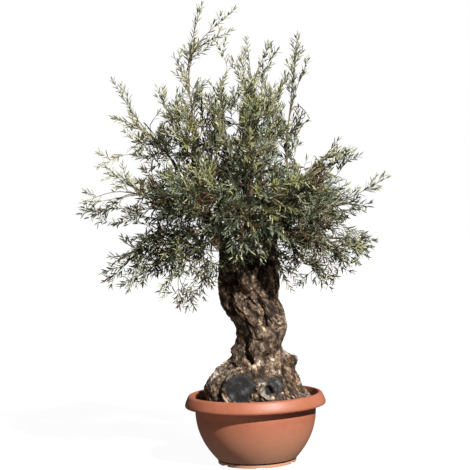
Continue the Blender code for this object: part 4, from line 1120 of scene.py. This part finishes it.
def shoot_aims(name):
    """Where each main shoot of a mass starts on its stem and where it ends, as the source draws them."""
    _, _, heart, reach, tips = MASSES[name]
    draw = random.Random("foliage_" + name)
    heart = Vector(heart)
    outward = (heart - CROWN_FOOT).normalized()
    side = outward.orthogonal().normalized()
    other = outward.cross(side)
    aims = []
    for count, tip in enumerate(tips):
        aims.append((0.60 + 0.12 * (count % 3), Vector(tip), True))
        draw.uniform(0.0, math.pi)
    first_turn = draw.uniform(0.0, math.tau)
    shoots = SHOOTS - len(tips)
    for count in range(shoots):
        cosine, sine, turn = spread_direction(count, shoots, CAP_OF_DIRECTIONS, first_turn)
        towards = outward * cosine + (side * math.cos(turn) + other * math.sin(turn)) * sine
        length = draw.uniform(0.88, 1.0)
        end = heart + Vector([a * b * length for a, b in zip(towards, reach)])
        share = 0.14 + 0.66 * (cosine + 1) / 2 + draw.uniform(-0.05, 0.05)
        aims.append((share, end, False))
        draw.uniform(0.0, math.pi)
    return aims


def height_share(point):
    """0 in the lower crown, 1 in the upper, where sprays stand upright."""
    return min(max((point[2] - UPRIGHT_FROM) / UPRIGHT_OVER, 0.0), 1.0)


def place_seen(across, down, depth=0.0):
    """The place, to the millimetre, that the photo shows at a pixel, so far behind the origin."""
    across, down = across - PHOTO_MIDDLE, down - PHOTO_MIDDLE
    right = across * math.cos(CAMERA_ROLL) - down * math.sin(CAMERA_ROLL)
    below = across * math.sin(CAMERA_ROLL) + down * math.cos(CAMERA_ROLL)
    pixel = (depth - CAMERA_PLACE[1]) / FOCAL_PIXELS
    x = AXIS_ACROSS * CAMERA_PLACE[1] / FOCAL_PIXELS + right * pixel
    return round(x, 3), depth, round(CAMERA_PLACE[2] - (below + HORIZON) * pixel, 3)


def opening_seen(across, down, wide, tall):
    """Centre x and z, half width and half height of an opening, in the plane of the origin."""
    x, _, z = place_seen(across, down)
    pixel = -CAMERA_PLACE[1] / FOCAL_PIXELS
    return x, z, round(wide * pixel, 3), round(tall * pixel, 3)


SPRAY_ENDS = [place_seen(*spray) for spray in SPRAYS]
OPENINGS = [opening_seen(*gap) for gap in GAPS]


def crosses_opening(point):
    """Whether a point, seen from the front, lies in one of the openings."""
    nearer = -CAMERA_PLACE[1] / (point[1] - CAMERA_PLACE[1])
    x = CAMERA_PLACE[0] + (point[0] - CAMERA_PLACE[0]) * nearer
    z = CAMERA_PLACE[2] + (point[2] - CAMERA_PLACE[2]) * nearer
    edge = 1.0 + 0.9 * lumps(point, 0.035)
    return any(((x - a) / wide) ** 2 + ((z - b) / tall) ** 2 < edge for a, b, wide, tall in OPENINGS)


def fine_ends(name):
    """Ends of the finer shoots: directions spread evenly round the heart, at drawn distances from it."""
    _, _, heart, reach, _ = MASSES[name]
    draw = random.Random("fine " + name)
    first_turn = draw.uniform(0.0, math.tau)
    ends = []
    shoots = round(FINE_SHOOTS * FULLNESS.get(name, 1.0))
    for count in range(shoots):
        cosine, sine, turn = spread_direction(count, shoots, -1, first_turn)
        towards = (sine * math.cos(turn), sine * math.sin(turn), cosine)
        length = draw.uniform(0.12, 1.0) ** 0.5
        if name in THIN_TOPS and cosine * length > THIN_FROM:
            continue
        ends.append(Vector(heart) + Vector([a * b * length for a, b in zip(towards, reach)]))
    return ends


def bent_path(start, along, end, lift=0.03):
    """A shoot that leaves along the wood it springs from, then bends to its end and lifts."""
    way = end - start
    first = (0.8 * along + way.normalized()).normalized()
    smooth = Path((start, start + first * 0.40 * way.length + UP * lift * way.length, end))
    return smooth.part(0.0, smooth.length, max(3, min(7, round(smooth.length / PIECE_LENGTH))))


def across_at(path, distance, turn):
    """A direction square to a path there, turned about it."""
    along = path.direction(distance)
    flat = along.orthogonal().normalized()
    return flat * math.cos(turn) + along.cross(flat) * math.sin(turn)


class Growth:
    """What one mass grows: twigs as lines with radii, and leaves as rows of numbers."""

    def __init__(self, name, index, hearts, wood):
        self.draw = random.Random("growth " + name)
        self.index, self.hearts, self.wood = index, hearts, wood
        self.twigs = []
        self.leaves = []
        self.places = []  # points on the wood that a finer shoot can spring from
        self.ways = []  # the way the wood runs at each of them

    def keeps_in(self, point):
        """Whether a point lies in the mass's own space, clear of the trunk, the limbs and every opening."""
        here = np.array(point)
        if nearer_than_others(here, self.index, self.hearts) < -SPACE_OVERLAP:
            return False
        if crosses_opening(here):
            return False
        return bool((np.linalg.norm(self.wood[0] - here, axis=1) > self.wood[1]).all())

    def add_twig(self, path, radii, bare, tint, spacing=PAIR_SPACING):
        """A twig and its leaf pairs, from the end of its bare foot to its tip."""
        start, end = radii
        taper = tapering(start, end, path.length)
        self.twigs.append((path.line, [taper(mark) for mark in path.marks]))
        self.add_pairs(path, bare, tint, spacing)

    def offer_places(self, path):
        """Lets finer shoots spring from a path."""
        for mark in np.arange(PLACE_SPACING, path.length, PLACE_SPACING):
            self.places.append(tuple(path.point(mark)))
            self.ways.append(path.direction(mark))

    def add_pairs(self, path, bare, tint, spacing):
        """Pairs of leaves, each square to the one below, set closer and smaller towards the tip."""
        distance = max(bare, FIRST_PAIR)
        roll = self.draw.uniform(0.0, math.pi)
        while distance < path.length - LAST_PAIR:
            share = distance / path.length
            self.add_pair(path, distance, roll, tint, 1.0 - LEAVES_SHRINK * share**3)
            roll += math.pi / 2 + self.draw.uniform(-PAIR_WANDER, PAIR_WANDER)
            distance += spacing * self.draw.uniform(0.75, 1.25) * (1.0 - PAIRS_CROWD * share)
        self.add_pair(path, path.length - 0.001, roll, tint, END_PAIR_SCALE, END_PAIR_ANGLE)

    def add_pair(self, path, distance, roll, tint, scale, angle=LEAF_ANGLE):
        """Two leaves at one place on a twig, less those that have fallen or would stand in the open."""
        along = path.direction(distance)
        side = across_at(path, distance, roll)
        for sign in (1, -1):
            if self.draw.random() < MISSING_LEAVES:
                continue
            lean = angle * self.draw.uniform(0.70, 1.30)
            towards = along * math.cos(lean) + sign * side * math.sin(lean)
            towards = (towards + 0.10 * UP).normalized()
            across = sign * along.cross(side).normalized()
            across = (across + side * self.draw.uniform(-0.4, 0.4)).normalized()
            length = LEAF_LENGTH * scale * self.draw.uniform(0.78, 1.15)
            root = path.point(distance)
            if not self.keeps_in(root + towards * length):
                continue
            number = tint if self.draw.random() < OWN_TINT else self.draw.choice(OTHER_TINTS)
            self.leaves.append((*root, *towards, *across, length, LEAF_WIDTH * math.sqrt(scale), number))

    def add_side_twigs(self, path, bare, tint, slim=False):
        """Short twigs off the sides of a shoot, by turns. A slim shoot has fewer, which keep close to it."""
        distance = bare + FIRST_SIDE_TWIG
        roll = self.draw.uniform(0.0, math.tau)
        while distance < path.length - LAST_SIDE_TWIG:
            start = path.point(distance)
            lean = math.radians(self.draw.uniform(*SIDE_TWIG_LEAN)) * (0.65 if slim else 1.0)
            aside = across_at(path, distance, roll)
            towards = path.direction(distance) * math.cos(lean) + aside * math.sin(lean)
            towards = (towards + (0.12 + 0.50 * height_share(start)) * UP).normalized()
            length = min(self.draw.uniform(*SIDE_TWIG), 0.8 * (path.length - distance) + 0.03)
            if slim:
                length *= 1.0 - 0.45 * distance / path.length
            end = start + towards * length
            if self.keeps_in(end):
                twig = bent_path(start, towards, end, 0.06)
                self.add_twig(twig, TWIG_RADII, SIDE_TWIG_BARE, tint)
            roll += math.radians(self.draw.uniform(110, 160))
            distance += SIDE_TWIG_SPACING * self.draw.uniform(0.7, 1.3) * (1.2 if slim else 1.0)


def tint_of(draw, end):
    """The tint of a spray: yellower high and outside, greyer low down, and near-black and brown within and
    beneath: painted shade, and the brown of dead leaves.
    """
    off = [(a - b) / c for a, b, c in zip(end, CROWN_HEART, CROWN_REACH)]
    out = min(math.sqrt(sum(o * o for o in off)), 1.2)
    high = min(max((end.z - 1.10) / 0.6, 0.0), 1.0)
    low = min(max((1.32 - end.z) / 0.25, 0.0), 1.0)
    olive = 0.35 + 0.45 * high
    grey = 0.75 - 0.45 * high
    # painted shade: near-black and brown sprays deep inside the crown and low in it
    deep = max(2.8 - 3.0 * out, 0.10) + 1.30 * low
    young = max(out - 0.60, 0.0) * (0.05 + 1.5 * high**1.5) + 0.03
    brown = max(1.7 - 1.9 * out, 0.015) + 0.65 * low
    return draw.choices(range(5), (olive, grey, deep, young, brown))[0]


def add_main_shoots(growth, name, stem):
    """The shoots that the source has too, each stopped where it would leave the mass's space."""
    for share, end, is_long in shoot_aims(name):
        leaves_at = stem.length * share
        shoot = bent_path(stem.point(leaves_at), stem.direction(leaves_at), end)
        stop = shoot.length
        while stop > SHORTEST_SHOOT and not growth.keeps_in(shoot.point(stop)):
            stop -= SHOOT_STEP
        if stop <= SHORTEST_SHOOT:
            continue
        stop = max(stop - 0.5 * LEAF_LENGTH, 0.05)
        shoot = shoot.part(0.0, stop, max(4, round(stop / PIECE_LENGTH)))
        tint = tint_of(growth.draw, end)
        bare = SHOOT_BARE * shoot.length
        growth.add_twig(shoot, SHOOT_RADII, bare, tint, PAIR_SPACING * (1.25 if is_long else 1.0))
        growth.add_side_twigs(shoot, bare, tint, slim=is_long)
        growth.offer_places(shoot)


def add_sprays(growth, name, stem):
    """Finer sprays, from the stem outwards, each sprung from the wood that lies best for it."""
    ends = fine_ends(name)
    for end in SPRAY_ENDS:
        if nearer_than_others(np.array(end), growth.index, growth.hearts) > 0:
            ends.append(Vector(end))
    ends.sort(key=lambda end: (end - stem.point(0.5 * stem.length)).length)
    for end in ends:
        if not growth.keeps_in(end):
            continue
        outward = (end - CROWN_HEART).normalized() + UPRIGHT * height_share(end) * UP
        foot = end - outward.normalized() * growth.draw.uniform(*SPRAY_LENGTH)
        spots = np.array(growth.places)
        off_foot = np.linalg.norm(spots - np.array(foot), axis=1)
        apart = np.linalg.norm(spots - np.array(end), axis=1)
        best = int(np.argmin(np.where(apart < CLOSEST_PLACE, np.inf, off_foot + 0.4 * apart)))
        spray = bent_path(Vector(spots[best]), growth.ways[best], end)
        tint = tint_of(growth.draw, end)
        bare = SPRAY_BARE * spray.length
        growth.add_twig(spray, (SPRAY_RADIUS, TWIG_RADII[1]), bare, tint)
        growth.add_side_twigs(spray, bare, tint)
        growth.offer_places(spray)


def grow_mass(name, index, hearts, wood):
    """Stem, shoots, sprays and leaves of one mass."""
    path, entry = bough_lines[name]
    growth = Growth(name, index, hearts, wood)
    stem = path.part(entry, path.length, 6)
    growth.add_twig(stem, (ENTRY_RADIUS, STEM_TIP_RADIUS), 0.6 * stem.length, 1)
    growth.offer_places(stem)
    add_main_shoots(growth, name, stem)
    add_sprays(growth, name, stem)
    return growth


def leaves_object(name, rows):
    """All leaves of a mass as one piece, each a lance-shaped blade of twelve faces with lifted edges."""
    rows = np.array(rows)
    root, along, across = rows[:, 0:3], rows[:, 3:6], rows[:, 6:9]
    length, width = rows[:, 9:10], rows[:, 10:11]
    up = np.cross(along, across)
    corners = [root]
    for place, half in ((0.30, 0.46), (0.66, 0.42)):
        middle = root + along * length * place - up * length * LEAF_DROOP * place**2
        corners.append(middle + across * width * half + up * LEAF_FOLD)
        corners.append(middle - across * width * half + up * LEAF_FOLD)
    corners.append(root + along * length - up * length * LEAF_DROOP)
    middle = root + along * length * 0.48 - up * length * LEAF_DROOP * 0.23
    corners.append(middle + up * LEAF_THICKNESS / 2)
    corners.append(middle - up * LEAF_THICKNESS / 2)
    points = np.stack(corners, axis=1).reshape(-1, 3)
    edge = (0, 2, 4, 5, 3, 1)
    upper = [(here, beside, 6) for here, beside in zip(edge, edge[1:] + edge[:1])]
    under = [(beside, here, 7) for here, beside in zip(edge, edge[1:] + edge[:1])]
    faces = (np.arange(len(rows))[:, None, None] * len(corners) + np.array(upper + under)).reshape(-1, 3)
    numbers = np.full((len(rows), len(upper) + len(under)), len(leaf_finishes) - 1)
    tint = rows[:, 11:12].astype(int)
    numbers[:, : len(upper)] = tint
    # the painted-shade tints are as dark beneath
    numbers = np.where(np.isin(tint, SHADE_TINTS), tint, numbers)
    numbers = numbers.reshape(-1).astype(np.int32)
    return mesh_object(name, points.tolist(), faces.tolist(), leaf_finishes, numbers)


def twigs_object(name, twigs, sides=4):
    """All twigs of a mass as one piece of tapering, few-sided tubes."""
    points, faces = [], []
    for line, radii in twigs:
        base = len(points)
        across = None
        for place, (centre, radius) in enumerate(zip(line, radii)):
            along = (line[min(place + 1, len(line) - 1)] - line[max(place - 1, 0)]).normalized()
            across = along.orthogonal() if across is None else across
            across = (across - along * across.dot(along)).normalized()
            other = along.cross(across)
            for side in range(sides):
                turn = math.tau * side / sides
                points.append(centre + radius * (math.cos(turn) * across + math.sin(turn) * other))
        for ring in range(len(line) - 1):
            for side in range(sides):
                here = base + ring * sides + side
                beside = base + ring * sides + (side + 1) % sides
                faces.append((here, beside, beside + sides, here + sides))
        faces.append(tuple(reversed(range(base, base + sides))))
        faces.append(tuple(range(len(points) - sides, len(points))))
    return mesh_object(name, [tuple(point) for point in points], faces, [twig_finish])


def wood_to_miss():
    """Points and radii along the trunk and its limbs, which leaves keep clear of."""
    points, radii = [], []
    for level in np.linspace(0.0, TRUNK_HEIGHT, 40):
        x, y, wide, _ = smooth_rows(TRUNK_GIRTHS, level)
        points.append((x, y, SOIL_TOP + level))
        radii.append(wide + TRUNK_GAP)
    for limb, radius in limb_lines.values():
        for mark in np.arange(0.0, limb.length, 0.008):
            points.append(tuple(limb.point(mark)))
            radii.append(radius(mark) + LIMB_GAP)
    return np.array(points), np.array(radii)


hearts = np.array([heart for _, _, heart, _, _ in MASSES.values()])
wood = wood_to_miss()
for index, name in enumerate(MASSES):
    growth = grow_mass(name, index, hearts, wood)
    leaves = leaves_object("leaves_" + name, growth.leaves)
    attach(leaves, "root")
    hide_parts("foliage_" + name)
    twigs = twigs_object("twigs_" + name, growth.twigs)
    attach(twigs, "root")
    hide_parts("foliage_" + name)

# The studio
# A plain pale floor under even white light, with one sun-like key light high on the right in front,
# a weak fill low on the left, such as light ground gives, and the camera where the photographer stood.

CAMERA_TILT = math.radians(1.05)  # down
CAMERA_LENS = 99.6
KEY_TURN = math.radians(-58)  # round from +x
KEY_HEIGHT = math.radians(37)
KEY_STRENGTH = 6.8
KEY_WIDTH = math.radians(3)
SKY_STRENGTH = 0.10
FILL_PLACE = Vector((-0.85, -1.30, 0.12))
FILL_AIM = Vector((0.0, 0.0, 0.22))
FILL_SIZE = 0.7
FILL_POWER = 4.6
FLOOR_SIZE = 60.0
FLOOR_GREY = 0.05
FLOOR_GLOW = 0.96

deselect_all()
bpy.ops.mesh.primitive_plane_add(size=FLOOR_SIZE)
floor = bpy.context.object
floor.name = "studio_floor"
floor_finish, floor_shader, _ = new_finish("studio_floor", 0.9)
floor_shader.inputs["Base Color"].default_value = (FLOOR_GREY, FLOOR_GREY, FLOOR_GREY, 1.0)
floor_shader.inputs["Emission Color"].default_value = (1.0, 1.0, 1.0, 1.0)
floor_shader.inputs["Emission Strength"].default_value = FLOOR_GLOW
floor.data.materials.append(floor_finish)
floor.visible_diffuse = False
floor.visible_glossy = False

world = bpy.data.worlds.new("studio")
bpy.context.scene.world = world
world.use_nodes = True
sky = world.node_tree.nodes["Background"]
sky.inputs["Color"].default_value = (1.0, 1.0, 1.0, 1.0)
sky.inputs["Strength"].default_value = SKY_STRENGTH
backdrop = world.node_tree.nodes.new("ShaderNodeBackground")
backdrop.inputs["Color"].default_value = (1.0, 1.0, 1.0, 1.0)
seen = world.node_tree.nodes.new("ShaderNodeLightPath")
either = world.node_tree.nodes.new("ShaderNodeMixShader")
world.node_tree.links.new(seen.outputs["Is Camera Ray"], either.inputs[0])
world.node_tree.links.new(sky.outputs[0], either.inputs[1])
world.node_tree.links.new(backdrop.outputs[0], either.inputs[2])
world.node_tree.links.new(either.outputs[0], world.node_tree.nodes["World Output"].inputs["Surface"])


def add_light(name, kind, power, colour, source):
    """A light that shines from the direction of its source."""
    light = bpy.data.lights.new(name, kind)
    light.energy = power
    light.color = colour
    made = bpy.data.objects.new(name, light)
    bpy.context.scene.collection.objects.link(made)
    made.rotation_euler = source.to_track_quat("Z", "Y").to_euler()
    return made


level = math.cos(KEY_HEIGHT)
from_key = Vector((math.cos(KEY_TURN) * level, math.sin(KEY_TURN) * level, math.sin(KEY_HEIGHT)))
key = add_light("key_light", "SUN", KEY_STRENGTH, (1.0, 0.975, 0.94), from_key)
key.data.angle = KEY_WIDTH
fill = add_light("fill_light", "AREA", FILL_POWER, (1.0, 0.93, 0.86), FILL_PLACE - FILL_AIM)
fill.data.size = FILL_SIZE
fill.location = FILL_PLACE
fill.visible_camera = False
fill.visible_glossy = False

bpy.context.scene.view_settings.view_transform = "Standard"
camera = bpy.data.objects.new("camera", bpy.data.cameras.new("camera"))
bpy.context.scene.collection.objects.link(camera)
camera.data.lens = CAMERA_LENS
camera.data.sensor_width = 36.0
camera.data.clip_end = 200.0
turned = Matrix.Rotation(math.pi / 2 - CAMERA_TILT, 4, "X") @ Matrix.Rotation(-CAMERA_ROLL, 4, "Z")
camera.matrix_world = Matrix.Translation(CAMERA_PLACE) @ turned
bpy.context.scene.camera = camera
